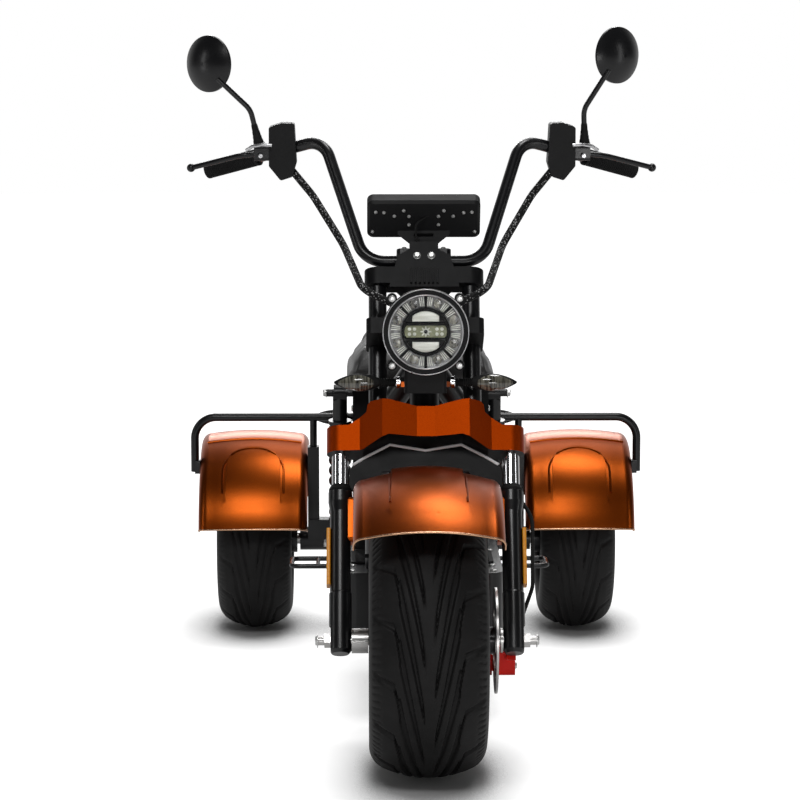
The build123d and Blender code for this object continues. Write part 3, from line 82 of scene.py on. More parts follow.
class Shader:
    """A node material built round one Principled shader."""

    def __init__(self, name, color, metallic=0.0, roughness=0.5, **extra):
        self.material = bpy.data.materials.new(name)
        self.material.use_nodes = True
        self.tree = self.material.node_tree
        self.main = self.tree.nodes["Principled BSDF"]
        self.set("Base Color", (*color, 1))
        self.set("Metallic", metallic)
        self.set("Roughness", roughness)
        for socket, value in extra.items():
            self.set(socket.replace("_", " "), value)

    def set(self, socket, value):
        self.main.inputs[socket].default_value = value

    def node(self, kind, **settings):
        made = self.tree.nodes.new(kind)
        for key, value in settings.items():
            if key in made.inputs:
                made.inputs[key].default_value = value
            else:
                setattr(made, key, value)
        return made

    def link(self, source, target):
        self.tree.links.new(source, target)

    def place(self, scale=(1, 1, 1), coords="Object"):
        spots = self.node("ShaderNodeTexCoord")
        mapping = self.node("ShaderNodeMapping")
        mapping.inputs["Scale"].default_value = scale
        self.link(spots.outputs[coords], mapping.inputs["Vector"])
        return mapping.outputs["Vector"]

    def noise(self, scale, detail=3.0, stretch=(1, 1, 1)):
        made = self.node("ShaderNodeTexNoise", Scale=scale, Detail=detail)
        self.link(self.place(stretch), made.inputs["Vector"])
        return made.outputs["Fac"]

    def cells(self, scale, feature="F1"):
        made = self.node("ShaderNodeTexVoronoi", Scale=scale, feature=feature)
        self.link(self.place(), made.inputs["Vector"])
        return made.outputs["Distance"]

    def ramp(self, factor, stops):
        made = self.node("ShaderNodeValToRGB")
        made.color_ramp.elements[0].position = stops[0][0]
        made.color_ramp.elements[0].color = (*stops[0][1], 1)
        made.color_ramp.elements[1].position = stops[-1][0]
        made.color_ramp.elements[1].color = (*stops[-1][1], 1)
        for position, color in stops[1:-1]:
            made.color_ramp.elements.new(position).color = (*color, 1)
        self.link(factor, made.inputs["Fac"])
        return made.outputs["Color"]

    def spread(self, factor, low, high, socket="Roughness"):
        made = self.node("ShaderNodeMapRange")
        made.inputs["To Min"].default_value = low
        made.inputs["To Max"].default_value = high
        self.link(factor, made.inputs["Value"])
        self.link(made.outputs["Result"], self.main.inputs[socket])

    def tint(self, factor, stops):
        self.link(self.ramp(factor, stops), self.main.inputs["Base Color"])

    def paint_shade_facing(self, direction, low, high, dark):
        """Paint with a fine fleck, and painted shade, a near-black colour, on faces that look in a direction.
        """
        normal = self.node("ShaderNodeNewGeometry").outputs["Normal"]
        facing = self.node("ShaderNodeVectorMath", operation="DOT_PRODUCT")
        self.link(normal, facing.inputs[0])
        facing.inputs[1].default_value = direction
        share = self.node("ShaderNodeMapRange")
        share.inputs["From Min"].default_value = 0.45
        share.inputs["From Max"].default_value = 0.6
        self.link(facing.outputs["Value"], share.inputs["Value"])
        blend = self.node("ShaderNodeMix", data_type="RGBA")
        self.link(share.outputs["Result"], blend.inputs["Factor"])
        self.link(self.ramp(self.noise(700, 2), [(0.35, low), (0.68, high)]), blend.inputs[6])
        blend.inputs[7].default_value = (*dark, 1)
        self.link(blend.outputs[2], self.main.inputs["Base Color"])

    def combine(self, operation, first, second):
        """A math node; its second input is a socket or a plain number."""
        made = self.node("ShaderNodeMath", operation=operation)
        self.link(first, made.inputs[0])
        if isinstance(second, float):
            made.inputs[1].default_value = second
        else:
            self.link(second, made.inputs[1])
        return made.outputs[0]

    def bump(self, height, strength, distance):
        made = self.node("ShaderNodeBump", Strength=strength, Distance=distance)
        self.link(height, made.inputs["Height"])
        before = self.main.inputs["Normal"].links
        if before:
            self.link(before[0].from_socket, made.inputs["Normal"])
        self.link(made.outputs["Normal"], self.main.inputs["Normal"])


def shade(value):
    return (value, value, value)


copper = Shader("copper_paint", (0.33, 0.058, 0.003), 1.0, 0.32, Coat_Weight=0.1, Coat_Roughness=0.3)
copper.tint(copper.noise(900, 2), [(0.35, (0.28, 0.047, 0.002)), (0.68, (0.38, 0.069, 0.003))])
copper.spread(copper.noise(14), 0.29, 0.36)
copper.bump(copper.cells(1400), 0.05, 0.0002)

clamp_paint_and_shade = Shader("clamp_paint_and_shade", (0.36, 0.050, 0.001), 1.0, 0.50)
# Painted shade: the clamp's faces that look down the fork are near black, where its underside falls in
# shadow.
clamp_paint_and_shade.paint_shade_facing(-UP, (0.31, 0.034, 0.0008), (0.40, 0.048, 0.0015), (0.012, 0.011, 0.011))
clamp_paint_and_shade.bump(clamp_paint_and_shade.noise(500), 0.05, 0.0003)

black_paint = Shader("black_paint", (0.006, 0.006, 0.007), 0.0, 0.30, Coat_Weight=0.2, Coat_Roughness=0.2)
black_paint.set("Specular IOR Level", 0.35)
black_paint.spread(black_paint.noise(30), 0.24, 0.38)
black_paint.bump(black_paint.noise(420, 2), 0.10, 0.0003)

black_satin = Shader("black_satin", (0.007, 0.007, 0.0075), 0.0, 0.44)
black_satin.set("Specular IOR Level", 0.15)
black_satin.spread(black_satin.noise(40), 0.38, 0.52)
black_satin.bump(black_satin.noise(650, 2), 0.16, 0.0003)

black_plastic = Shader("black_plastic", (0.008, 0.008, 0.0085), 0.0, 0.5)
black_plastic.set("Specular IOR Level", 0.22)
black_plastic.bump(black_plastic.cells(900), 0.22, 0.0003)
black_plastic.spread(black_plastic.noise(25), 0.44, 0.58)

rubber = Shader("rubber", (0.009, 0.009, 0.009), 0.0, 0.68)
rubber.set("Specular IOR Level", 0.2)
rubber.tint(rubber.noise(60), [(0.3, shade(0.006)), (0.7, shade(0.013))])
rubber.bump(rubber.noise(800, 3), 0.25, 0.0004)

tyre_rubber = Shader("tyre_rubber", (0.008, 0.0076, 0.0076), 0.0, 0.56)
tyre_rubber.set("Specular IOR Level", 0.24)
tyre_rubber.tint(tyre_rubber.noise(35, 5), [(0.3, (0.0055, 0.0052, 0.0053)), (0.7, (0.011, 0.0104, 0.0104))])
tyre_rubber.spread(tyre_rubber.noise(18), 0.46, 0.66)
tyre_rubber.bump(tyre_rubber.noise(450, 4), 0.28, 0.0006)

alloy = Shader("alloy", (0.60, 0.60, 0.61), 1.0, 0.30)
alloy.spread(alloy.noise(60, 4), 0.24, 0.38)
alloy.bump(alloy.noise(380, 3), 0.10, 0.0002)

black_alloy = Shader("black_alloy", (0.020, 0.020, 0.022), 0.55, 0.34, Coat_Weight=0.4, Coat_Roughness=0.15)
black_alloy.spread(black_alloy.noise(40), 0.28, 0.42)
black_alloy.bump(black_alloy.noise(500), 0.10, 0.0003)

steel = Shader("steel", (0.56, 0.55, 0.54), 1.0, 0.32)
steel.spread(steel.noise(200, 3, (1, 1, 12)), 0.24, 0.42)
steel.bump(steel.noise(260, 3, (1, 1, 9)), 0.08, 0.0002)

chrome = Shader("chrome", (0.78, 0.78, 0.80), 1.0, 0.07)
chrome.spread(chrome.noise(50), 0.05, 0.12)

zinc = Shader("zinc", (0.66, 0.66, 0.65), 0.7, 0.30)
zinc.spread(zinc.noise(240), 0.2, 0.36)

# Plain white, non-metal colour for the bead on the brace's top edge: a painted highlight.
edge_highlight_paint = Shader("edge_highlight_paint", (0.90, 0.90, 0.91), 0.0, 0.30)
edge_highlight_paint.spread(edge_highlight_paint.noise(60), 0.28, 0.42)

# Paler copper for the beads along the fenders' lips: a painted highlight.
lip_highlight_paint = Shader("lip_highlight_paint", (0.62, 0.36, 0.22), 1.0, 0.24)
lip_highlight_paint.spread(lip_highlight_paint.noise(50), 0.18, 0.32)

red_paint = Shader("red_paint", (0.92, 0.020, 0.012), 0.0, 0.40)
red_paint.set("Specular IOR Level", 0.2)
red_paint.bump(red_paint.noise(420), 0.08, 0.0003)

amber = Shader("amber_lens", (0.95, 0.42, 0.02), 0.0, 0.30)
amber.set("Specular IOR Level", 0.25)
amber.tint(amber.cells(260), [(0.0, (0.98, 0.46, 0.02)), (0.6, (0.84, 0.30, 0.008))])
amber.bump(amber.cells(260), 0.12, 0.0004)

red_lens = Shader("red_lens", (0.42, 0.010, 0.008), 0.0, 0.14, Coat_Weight=0.8, Coat_Roughness=0.04)
red_lens.tint(red_lens.cells(180), [(0.0, (0.55, 0.020, 0.014)), (0.6, (0.30, 0.006, 0.006))])
red_lens.bump(red_lens.cells(180), 0.4, 0.0008)

smoke_lens = Shader("smoke_lens", (0.055, 0.050, 0.035), 0.0, 0.12, Coat_Weight=0.8, Coat_Roughness=0.03)
LENS_STRIPES = [(0.38, (0.022, 0.020, 0.016)), (0.66, (0.26, 0.25, 0.20))]
smoke_lens.tint(smoke_lens.noise(90, 2, (3, 0.3, 0.3)), LENS_STRIPES)

leather = Shader("seat_leather", (0.018, 0.017, 0.017), 0.0, 0.46, Coat_Weight=0.12, Coat_Roughness=0.3)
leather.tint(leather.noise(22, 4), [(0.3, (0.013, 0.0125, 0.0125)), (0.72, (0.025, 0.024, 0.024))])
leather.bump(leather.cells(420), 0.34, 0.0006)
leather.spread(leather.noise(30), 0.38, 0.56)

mirror_face = Shader("mirror_face", (0.86, 0.87, 0.88), 1.0, 0.03)
mirror_face.spread(mirror_face.noise(6), 0.02, 0.05)

screen = Shader("screen", (0.006, 0.007, 0.009), 0.0, 0.08, Coat_Weight=1.0, Coat_Roughness=0.02)
screen.spread(screen.noise(20), 0.06, 0.12)

clear = Shader("clear_lens", (0.96, 0.97, 0.97), 0.0, 0.03, Transmission_Weight=1.0, IOR=1.12, Alpha=0.28)
clear.spread(clear.noise(40), 0.02, 0.05)

reflector = Shader("reflector", (0.34, 0.34, 0.34), 0.6, 0.46)
reflector.tint(reflector.noise(90, 2), [(0.3, shade(0.14)), (0.7, shade(0.28))])
reflector.spread(reflector.noise(300), 0.38, 0.54)

diffuser = Shader("diffuser", (0.66, 0.67, 0.60), 0.0, 0.34, Coat_Weight=0.4, Coat_Roughness=0.1)
diffuser.tint(diffuser.noise(70, 2, (0.4, 1, 3)), [(0.3, (0.54, 0.55, 0.48)), (0.7, (0.78, 0.79, 0.73))])

led_olive = Shader("led_olive", (0.22, 0.23, 0.13), 0.0, 0.40)
led_olive.tint(led_olive.noise(120, 2), [(0.3, (0.17, 0.18, 0.10)), (0.7, (0.28, 0.29, 0.18))])

braid = Shader("braided_hose", shade(0.02), 0.0, 0.6)
braid.set("Specular IOR Level", 0.15)
BRAID_SPECKS = [(0.0, shade(0.62)), (0.22, shade(0.40)), (0.34, shade(0.02)), (0.7, shade(0.006))]
braid.tint(braid.cells(230), BRAID_SPECKS)
braid.bump(braid.cells(230), 0.7, 0.0012)

FINISH = {
    copper: ["front_fender", "rear_fender_left", "rear_fender_right"],
    clamp_paint_and_shade: ["lower_clamp"],
    black_paint: ["main_frame", "swing_arm", "handlebar", "fender_hoop_left", "fender_hoop_right"]
    + ["fork_posts", "passenger_steps", "fork_sliders", "bar_risers", "mirrors", "deck_box", "drive_axle"]
    + ["brake_levers", "rear_shocks"],
    black_satin: ["headlight_guard", "headlight_shell", "headlight_bracket", "dash_bracket", "seat_base"]
    + ["front_signals", "steering_stem", "fork_brace", "upper_clamp"],
    black_plastic: ["control_housings", "dash_panel", "battery_pack"],
    rubber: ["bar_grips", "deck_mat", "brake_hose", "dash_lead"],
    tyre_rubber: ["front_tyre", "rear_tyre_left", "rear_tyre_right"],
    black_alloy: ["front_rim", "rear_rim_left", "rear_rim_right"],
    steel: ["front_axle", "front_disc", "rear_shaft_left", "rear_shaft_right"],
    chrome: ["fork_stanchions"],
    leather: ["rider_seat", "passenger_seat"],
    red_paint: ["front_caliper"],
    amber: ["fork_reflectors"],
    smoke_lens: ["rear_signals"],
    red_lens: ["tail_lamp"],
    clear: ["headlight_lens"],
    mirror_face: ["mirror_glass"],
    screen: ["dash_screen"],
    braid: ["control_hoses"],
    alloy: ["headlight_core"],
}


def coat(piece, shader):
    piece.data.materials.clear()
    piece.data.materials.append(shader.material)


for shader, names in FINISH.items():
    for name in names:
        coat(nodes[name], shader)
bare = sorted(set(nodes) - {name for names in FINISH.values() for name in names})
if bare:
    raise ValueError(f"no finish for {bare}")


class Solid:
    """Faces gathered into one piece; lengths are in millimetres, places in metres."""

    def __init__(self):
        self.points = []
        self.faces = []

    def ring(self, places):
        first = len(self.points)
        self.points.extend(places)
        return list(range(first, len(self.points)))

    def bridge(self, low, high):
        for k in range(max(len(low), len(high))):
            near = (low[k % len(low)], low[(k + 1) % len(low)])
            far = (high[(k + 1) % len(high)], high[k % len(high)])
            face = tuple(dict.fromkeys(near + far))
            if len(face) > 2:
                self.faces.append(face)

    def join(self, rings):
        for low, high in zip(rings, rings[1:]):
            self.bridge(low, high)
        for end in (rings[0], rings[-1]):
            if len(end) > 2:
                self.faces.append(tuple(end))

    def lathe(self, base, axis, profile, sides=40):
        """Turns (along, radius) pairs about an axis through base."""
        axis = Vector(axis).normalized()
        across = axis.orthogonal().normalized()
        other = axis.cross(across)
        rings = []
        for along, radius in profile:
            middle = Vector(base) + axis * along / 1000
            if radius == 0:
                rings.append(self.ring([middle]))
                continue
            turns = [2 * math.pi * k / sides for k in range(sides)]
            spokes = [across * math.cos(turn) + other * math.sin(turn) for turn in turns]
            rings.append(self.ring([middle + spoke * radius / 1000 for spoke in spokes]))
        self.join(rings)

    def plate(self, base, right, up, outline, layers):
        """Stacks an outline of (right, up) pairs; each layer is (height, inset towards the middle)."""
        right, up = Vector(right).normalized(), Vector(up).normalized()
        normal = right.cross(up)
        middle = Vector((sum(u for u, _ in outline), sum(v for _, v in outline))) / len(outline)
        rings = []
        for height, inset in layers:
            places = []
            for corner in outline:
                inward = middle - Vector(corner)
                u, v = Vector(corner) + inward.normalized() * min(inset, inward.length)
                places.append(Vector(base) + (right * u + up * v + normal * height) / 1000)
            rings.append(self.ring(places))
        self.join(rings)

    def tube(self, path, radius, sides=10):
        """A round bead along a list of places."""
        rings = []
        side = (path[1] - path[0]).orthogonal().normalized()
        for k, place in enumerate(path):
            along = (path[min(k + 1, len(path) - 1)] - path[max(k - 1, 0)]).normalized()
            side = (side - along * side.dot(along)).normalized()
            other = along.cross(side)
            turns = [2 * math.pi * j / sides for j in range(sides)]
            spokes = [side * math.cos(turn) + other * math.sin(turn) for turn in turns]
            rings.append(self.ring([place + spoke * radius / 1000 for spoke in spokes]))
        self.join(rings)

    def bolt(self, base, axis, across, height):
        """A hexagon head on a washer."""
        radius = across / math.sqrt(3)
        self.lathe(base, axis, [(0, radius * 1.35), (1.2, radius * 1.35), (1.6, radius * 1.25)], 28)
        head = [(1.2, radius), (height - 1.4, radius), (height, radius * 0.82), (height, 0)]
        self.lathe(base, axis, head, 6)

    def screw(self, base, axis, radius, height):
        """A round socket-head screw with a hollow drive."""
        head = [(0, radius), (height * 0.6, radius), (height * 0.9, radius * 0.86), (height, radius * 0.6)]
        drive = [(height, radius * 0.42), (height * 0.35, radius * 0.4), (height * 0.35, 0)]
        self.lathe(base, axis, head + drive, 24)

    def slab(self, front, back):
        """A thin sheet between two grids of point numbers."""
        rows, columns = len(front) - 1, len(front[0]) - 1
        for k in range(rows):
            for j in range(columns):
                self.faces.append((front[k][j], front[k][j + 1], front[k + 1][j + 1], front[k + 1][j]))
                self.faces.append((back[k][j], back[k + 1][j], back[k + 1][j + 1], back[k][j + 1]))
            self.faces.append((front[k][0], front[k + 1][0], back[k + 1][0], back[k][0]))
            self.faces.append((front[k][-1], back[k][-1], back[k + 1][-1], front[k + 1][-1]))
        for j in range(columns):
            self.faces.append((front[0][j], back[0][j], back[0][j + 1], front[0][j + 1]))
            self.faces.append((front[-1][j], front[-1][j + 1], back[-1][j + 1], back[-1][j]))

    def take(self, other):
        """Adds another solid's faces."""
        first = len(self.points)
        self.points += other.points
        self.faces += [tuple(k + first for k in face) for face in other.faces]

    def done(self, name, body, shader, slot, replaced=(), sharp=38):
        mesh = bpy.data.meshes.new(name)
        mesh.from_pydata([tuple(p) for p in self.points], [], self.faces)
        shape = bmesh.new()
        shape.from_mesh(mesh)
        bmesh.ops.recalc_face_normals(shape, faces=shape.faces)
        shape.to_mesh(mesh)
        shape.free()
        mesh.shade_smooth()
        mesh.set_sharp_from_angle(angle=math.radians(sharp))
        piece = bpy.data.objects.new(name, mesh)
        scene.collection.objects.link(piece)
        return settle(piece, body, shader, replaced)


def settle(piece, body, shader, replaced=()):
    """Fastens a piece to its body, finishes it and hides the solids that it stands for."""
    coat(piece, shader)
    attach(piece, body)
    if replaced:
        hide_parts(*replaced)
    return piece


# Tyres: rounded casings with long slanted grooves that end in hooks at the shoulders
def arc(start, through, end, count):
    """Points on the circle through three (x, y) pairs, without the last one."""
    a, b, c = (complex(*p) for p in (start, through, end))
    w = (c - a) / (b - a)
    middle = (b - a) * (w - abs(w) ** 2) / (w - w.conjugate()) + a
    first = a - middle
    sweep = np.angle((c - middle) / first)
    if np.angle((b - middle) / first) * sweep < 0:
        sweep -= math.copysign(2 * math.pi, sweep)
    places = middle + first * np.exp(1j * sweep * np.arange(count) / count)
    return [(p.real, p.imag) for p in places]


def casing(radius, half, section, fine, coarse):
    """The tyre's section in millimetres from bead to bead, as (x, radius) pairs."""
    bead = radius - section
    shoulder = (0.76 * half, radius - 0.2 * section)
    widest = (half, radius - 0.62 * section)
    foot = (0.78 * half, radius - 0.88 * section)
    hip = (0.93 * half, radius - 0.37 * section)
    waist = (0.95 * half, radius - 0.79 * section)
    right = arc(shoulder, hip, widest, coarse) + arc(widest, waist, foot, coarse) + [foot, (foot[0], bead)]
    crown = arc((-shoulder[0], shoulder[1]), (0, radius), shoulder, fine)
    left = [(-x, y) for x, y in reversed(right[1:])]
    return np.array(left + crown + right)


def fade(value, edge, soft):
    return np.clip((edge - value) / soft + 0.5, 0, 1)


def grooves(turn, side, radius, half, pitches, depth):
    """Groove depth at wheel angles and at distances along the casing from its middle line."""
    pitch = 2 * math.pi / pitches
    span = 2.7 * pitch
    inner, knee, outer = 0.07, 0.60, 0.95
    share = np.abs(side) / half
    run = np.clip((share - inner) / (knee - inner), 0, 1)
    hook = np.clip((share - knee) / (outer - knee), 0, 1)
    line = span * run**0.87 + 0.16 * pitch * hook + np.where(side > 0, 0.5 * pitch, 0)
    offset = (turn - line + pitch / 2) % pitch - pitch / 2
    bend = np.clip((share - knee + 0.1) / 0.2, 0, 1)
    slope = (knee - inner) * half / (span * radius) * (1 - bend) + 2.5 * bend
    away = np.abs(offset) * radius * slope / np.sqrt(1 + slope**2)
    width = 0.026 * half + 0.030 * half * run - 0.018 * half * hook
    inside = (share > inner) & (share < outer)
    cut = fade(away, width, 2.2) * inside * np.clip((share - inner) / 0.05, 0, 1) * (1 - 0.45 * hook)
    nick_pitch = pitch / 7
    nick = np.abs((turn + 0.3 * share * pitch) % nick_pitch - nick_pitch / 2) * radius
    nicks = fade(nick, 1.6, 1.6) * ((share > 0.86) & (share < 1.02))
    return depth * np.maximum(cut, 0.35 * nicks)


def tread(name, body, node, section, pitches, rows, fine, coarse, depth):
    low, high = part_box(node)
    radius, half = (high[2] - low[2]) * 500, (high[0] - low[0]) * 500
    hub = [(low[k] + high[k]) / 2 for k in range(3)]
    profile = casing(radius, half, section, fine, coarse)
    step = np.hypot(*np.diff(profile, axis=0).T)
    along = np.concatenate([[0], np.cumsum(step)])
    crown = slice(len(profile) // 4, -len(profile) // 4)
    along -= np.interp(0, profile[crown, 0], along[crown])
    flow = np.gradient(profile, axis=0)
    normal = np.stack([-flow[:, 1], flow[:, 0]], 1) / np.hypot(*flow.T)[:, None]
    turn = 2 * math.pi * np.arange(rows) / rows
    sunk = grooves(turn[:, None], along[None, :], radius, half, pitches, depth)
    x = profile[:, 0] - sunk * normal[:, 0]
    r = profile[:, 1] - sunk * normal[:, 1]
    places = np.stack([x, -r * np.cos(turn)[:, None], r * np.sin(turn)[:, None]], -1) / 1000 + np.array(hub)
    columns = len(profile)
    row, column = np.meshgrid(np.arange(rows), np.arange(columns), indexing="ij")
    next_row, next_column = (row + 1) % rows, (column + 1) % columns
    corners = [row * columns + column, next_row * columns + column]
    corners += [next_row * columns + next_column, row * columns + next_column]
    casing_solid = Solid()
    casing_solid.points = [tuple(p) for p in places.reshape(-1, 3)]
    casing_solid.faces = np.stack(corners, -1).reshape(-1, 4).tolist()
    casing_solid.done(name, body, tyre_rubber, "tyre", [node], sharp=60)


FRONT_TREAD = {"section": 86.5, "pitches": 14, "rows": 600, "fine": 100, "coarse": 11, "depth": 6.5}
REAR_TREAD = {"section": 88.5, "pitches": 14, "rows": 360, "fine": 64, "coarse": 8, "depth": 3.2}
tread("front_tread", "front_wheel", "front_tyre", **FRONT_TREAD)
for side in ("left", "right"):
    tread(f"rear_tread_{side}", f"rear_wheel_{side}", f"rear_tyre_{side}", **REAR_TREAD)


# Seats: blown up a little by cloth pressure from the solid's own shape, held flat underneath
SEAT_SHARE = (0.975, 0.975, 0.955)
SEAT_GRID, SEAT_HELD, SEAT_PUFF = 0.005, 0.012, 0.008
SEAT_STEPS, SEAT_PRESSURE = 20, 4


def cushion(name, node, body):
    source = nodes[node]
    pad = bpy.data.objects.new(name, source.data.copy())
    scene.collection.objects.link(pad)
    bpy.context.view_layer.objects.active = pad
    low, high = (Vector(corner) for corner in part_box(node))
    middle = (low + high) / 2
    for point in pad.data.vertices:
        point.co.x = middle.x + (point.co.x - middle.x) * SEAT_SHARE[0]
        point.co.y = middle.y + (point.co.y - middle.y) * SEAT_SHARE[1]
        point.co.z = low.z + (point.co.z - low.z) * SEAT_SHARE[2]
    pad.data.remesh_voxel_size = SEAT_GRID
    bpy.ops.object.voxel_remesh()
    start = np.empty(len(pad.data.vertices) * 3)
    pad.data.vertices.foreach_get("co", start)
    start = start.reshape(-1, 3)
    held = pad.vertex_groups.new(name="held")
    held.add([k for k, p in enumerate(start) if p[2] < low.z + SEAT_HELD], 1.0, "ADD")
    cloth = pad.modifiers.new("blown", "CLOTH")
    cloth.settings.use_pressure = True
    cloth.settings.uniform_pressure_force = SEAT_PRESSURE
    cloth.settings.effector_weights.gravity = 0
    cloth.settings.vertex_group_mass = "held"
    cloth.settings.quality = 5
    for step in range(1, SEAT_STEPS + 1):
        scene.frame_set(step)
    blown = pad.evaluated_get(bpy.context.evaluated_depsgraph_get()).to_mesh()
    end = np.empty(len(start) * 3)
    blown.vertices.foreach_get("co", end)
    moved = end.reshape(-1, 3) - start
    length = np.linalg.norm(moved, axis=1, keepdims=True)
    moved *= np.minimum(1, SEAT_PUFF / np.maximum(length, 1e-9))
    pad.modifiers.remove(cloth)
    scene.frame_set(1)
    pad.data.vertices.foreach_set("co", (start + moved).ravel())
    pad.vertex_groups.clear()
    smooth = pad.modifiers.new("smooth", "SMOOTH")
    smooth.iterations = 6
    finer = pad.modifiers.new("finer", "SUBSURF")
    finer.levels = finer.render_levels = 1
    pad.data.shade_smooth()
    settle(pad, body, leather, [node])


cushion("saddle", "rider_seat", "chassis")
cushion("pillion_pad", "passenger_seat", "chassis")


# Headlight: a ring of fluted reflector cells round an inner lamp with two diffusers and a bar
lamp_low, lamp_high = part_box("headlight_guard")
LAMP = Vector((0, lamp_low[1], (lamp_low[2] + lamp_high[2]) / 2))
LENS_RADIUS, INNER_RADIUS, CORE_RADIUS = 67.5, 42, 43
CORE_BACK, BAR_BACK, LED_BACK = 13.8, 12.2, 11
FLUTE_COUNT = 112
FLUTE_ROWS = [(LENS_RADIUS, 6.2, 0), (63.5, 8.5, 0.25), (57, 10.8, 0.8), (50, 12.0, 0.8)]
FLUTE_ROWS += [(CORE_RADIUS, 13.0, 0.2)]
BOSS = ((0, 0), (0, 8.6), (4.6, 8.2), (5.0, 7.4), (5.0, 6.2), (3.4, 5.6), (3.4, 3.2), (4.4, 0))
COLLAR = ((0, 43.5), (7, 43.5), (7.6, 42.5), (7.6, 39.5), (1, 39), (0, 39), (0, 43.5))
LED = ((0, 3.4), (1.8, 2.8), (2.6, 1.2), (2.8, 0))
BAR_HALF = [(-38, 0), (-37, 7), (-33.5, 11), (33.5, 11), (37, 7)]


def ray(angle):
    """The direction away from the lamp's middle at an angle."""
    turn = math.radians(angle)
    return RIGHT * math.cos(turn) + ABOVE * math.sin(turn)


def in_lamp(angle, radius, depth):
    """A point in the lamp, in degrees and in millimetres behind its face."""
    return LAMP + (ray(angle) * radius - AHEAD * depth) / 1000


def spoke(solid, angle, depth, outline, layers):
    """A plate of (across, outward) pairs that points away from the lamp's middle."""
    solid.plate(in_lamp(0, 0, depth), -AHEAD.cross(ray(angle)), ray(angle), outline, layers)


def face_plate(solid, depth, outline, layers):
    """A plate of (right, up) pairs that faces ahead."""
    solid.plate(in_lamp(0, 0, depth), RIGHT, ABOVE, outline, layers)


flutes = Solid()
flute_angles = [360 * k / FLUTE_COUNT for k in range(FLUTE_COUNT)]
flute_rings = []
for radius, depth, ripple in FLUTE_ROWS:
    places = []
    for k, angle in enumerate(flute_angles):
        facet = ripple * (1 if (k // 2) % 2 else -1) * (1 if radius > 54 else -1)
        places.append(in_lamp(angle, radius, depth - facet))
    flute_rings.append(flutes.ring(places))
for radius in (CORE_RADIUS, LENS_RADIUS):
    flute_rings.append(flutes.ring([in_lamp(angle, radius, CORE_BACK) for angle in flute_angles]))
for low_ring, high_ring in zip(flute_rings, flute_rings[1:] + flute_rings[:1]):
    flutes.bridge(low_ring, high_ring)
flutes.done("headlight_reflector", "steering", reflector, "alloy", ["headlight_core"], sharp=12)

# Each cell has a dark round boss between radial fins
bosses, lamp_fins = Solid(), Solid()
for k in range(8):
    middle = 22.5 + 45 * k
    bosses.lathe(in_lamp(middle, 54.5, CORE_BACK), AHEAD, BOSS, 32)
    for offset in (-18.5, -15, -11.5, 11.5, 15, 18.5):
        outline = [(-0.6, 46), (0.6, 46), (0.9, 62), (-0.9, 62)]
        spoke(lamp_fins, middle + offset, CORE_BACK, outline, [(0, 0), (5.2, 0)])
bosses.done("headlight_bosses", "steering", smoke_lens, "clear_glass")
lamp_fins.done("headlight_fins", "steering", diffuser, "clear_glass")

# Black ribs between the cells, and the inner lamp's collar, floor and cross bars
ribs = Solid()
rib_start, rib_end = INNER_RADIUS - 1, LENS_RADIUS - 0.5
for angle in (45, 90, 135, 225, 270, 315):
    outline = [(-2, rib_start), (2, rib_start), (2.6, rib_end), (-2.6, rib_end)]
    spoke(ribs, angle, CORE_BACK, outline, [(0, 0), (8.2, 0)])
ribs.lathe(in_lamp(0, 0, 13), AHEAD, COLLAR, 72)
ribs.lathe(in_lamp(0, 0, 13.6), AHEAD, [(0, 0), (0, 39.5), (1.4, 39.5), (1.4, 0)], 72)
for height in (14.5, -14.5):
    outline = [(-40, height - 1.8), (40, height - 1.8), (40, height + 1.8), (-40, height + 1.8)]
    face_plate(ribs, 12.4, outline, [(0, 0), (6.6, 0)])
ribs.done("headlight_ribs", "steering", black_satin, "black_plastic")

glows = Solid()
for end in (1, -1):
    moon = [(-24, end * 18), (24, end * 18)]
    for angle in range(40, -41, -10):
        turn = math.radians(angle)
        moon.append((37 * math.sin(turn), end * 37 * math.cos(turn)))
    face_plate(glows, BAR_BACK, moon, [(0, 0), (3.6, 0), (4.8, 1.6), (5.2, 5)])
glows.done("headlight_diffusers", "steering", diffuser, "clear_glass")

# The bar carries eight lamps and a star round a dark middle
led_bar, emitters = Solid(), Solid()
bar_outline = BAR_HALF + [(-u, -v) for u, v in BAR_HALF]
face_plate(led_bar, BAR_BACK, bar_outline, [(0, 0), (1.2, 0), (1.8, 1.5)])
for across in (-29, -20, 20, 29):
    for height in (4.5, -4.5):
        place = in_lamp(0, 0, LED_BACK) + (RIGHT * across + ABOVE * height) / 1000
        emitters.lathe(place, AHEAD, LED, 20)
for angle in range(0, 360, 45):
    spoke(emitters, angle, LED_BACK, [(-2.2, 3), (2.2, 3), (1, 10), (-1, 10)], [(0, 0), (3, 1.2)])
led_bar.done("headlight_bar", "steering", led_olive, "clear_glass")
emitters.done("headlight_emitters", "steering", diffuser, "clear_glass")

pupil = Solid()
pupil.lathe(in_lamp(0, 0, LED_BACK), AHEAD, [(0, 3.6), (3.2, 3.2), (4.4, 1.6), (4.6, 0)], 28)
pupil.done("headlight_pupil", "steering", screen, "screen")


# Turn signals: ribbed stalk on chrome nuts, black leaf with a smoked lens in its front
LENS_ROWS, LENS_COLUMNS, LENS_INSIDE = 14, 12, 0.9


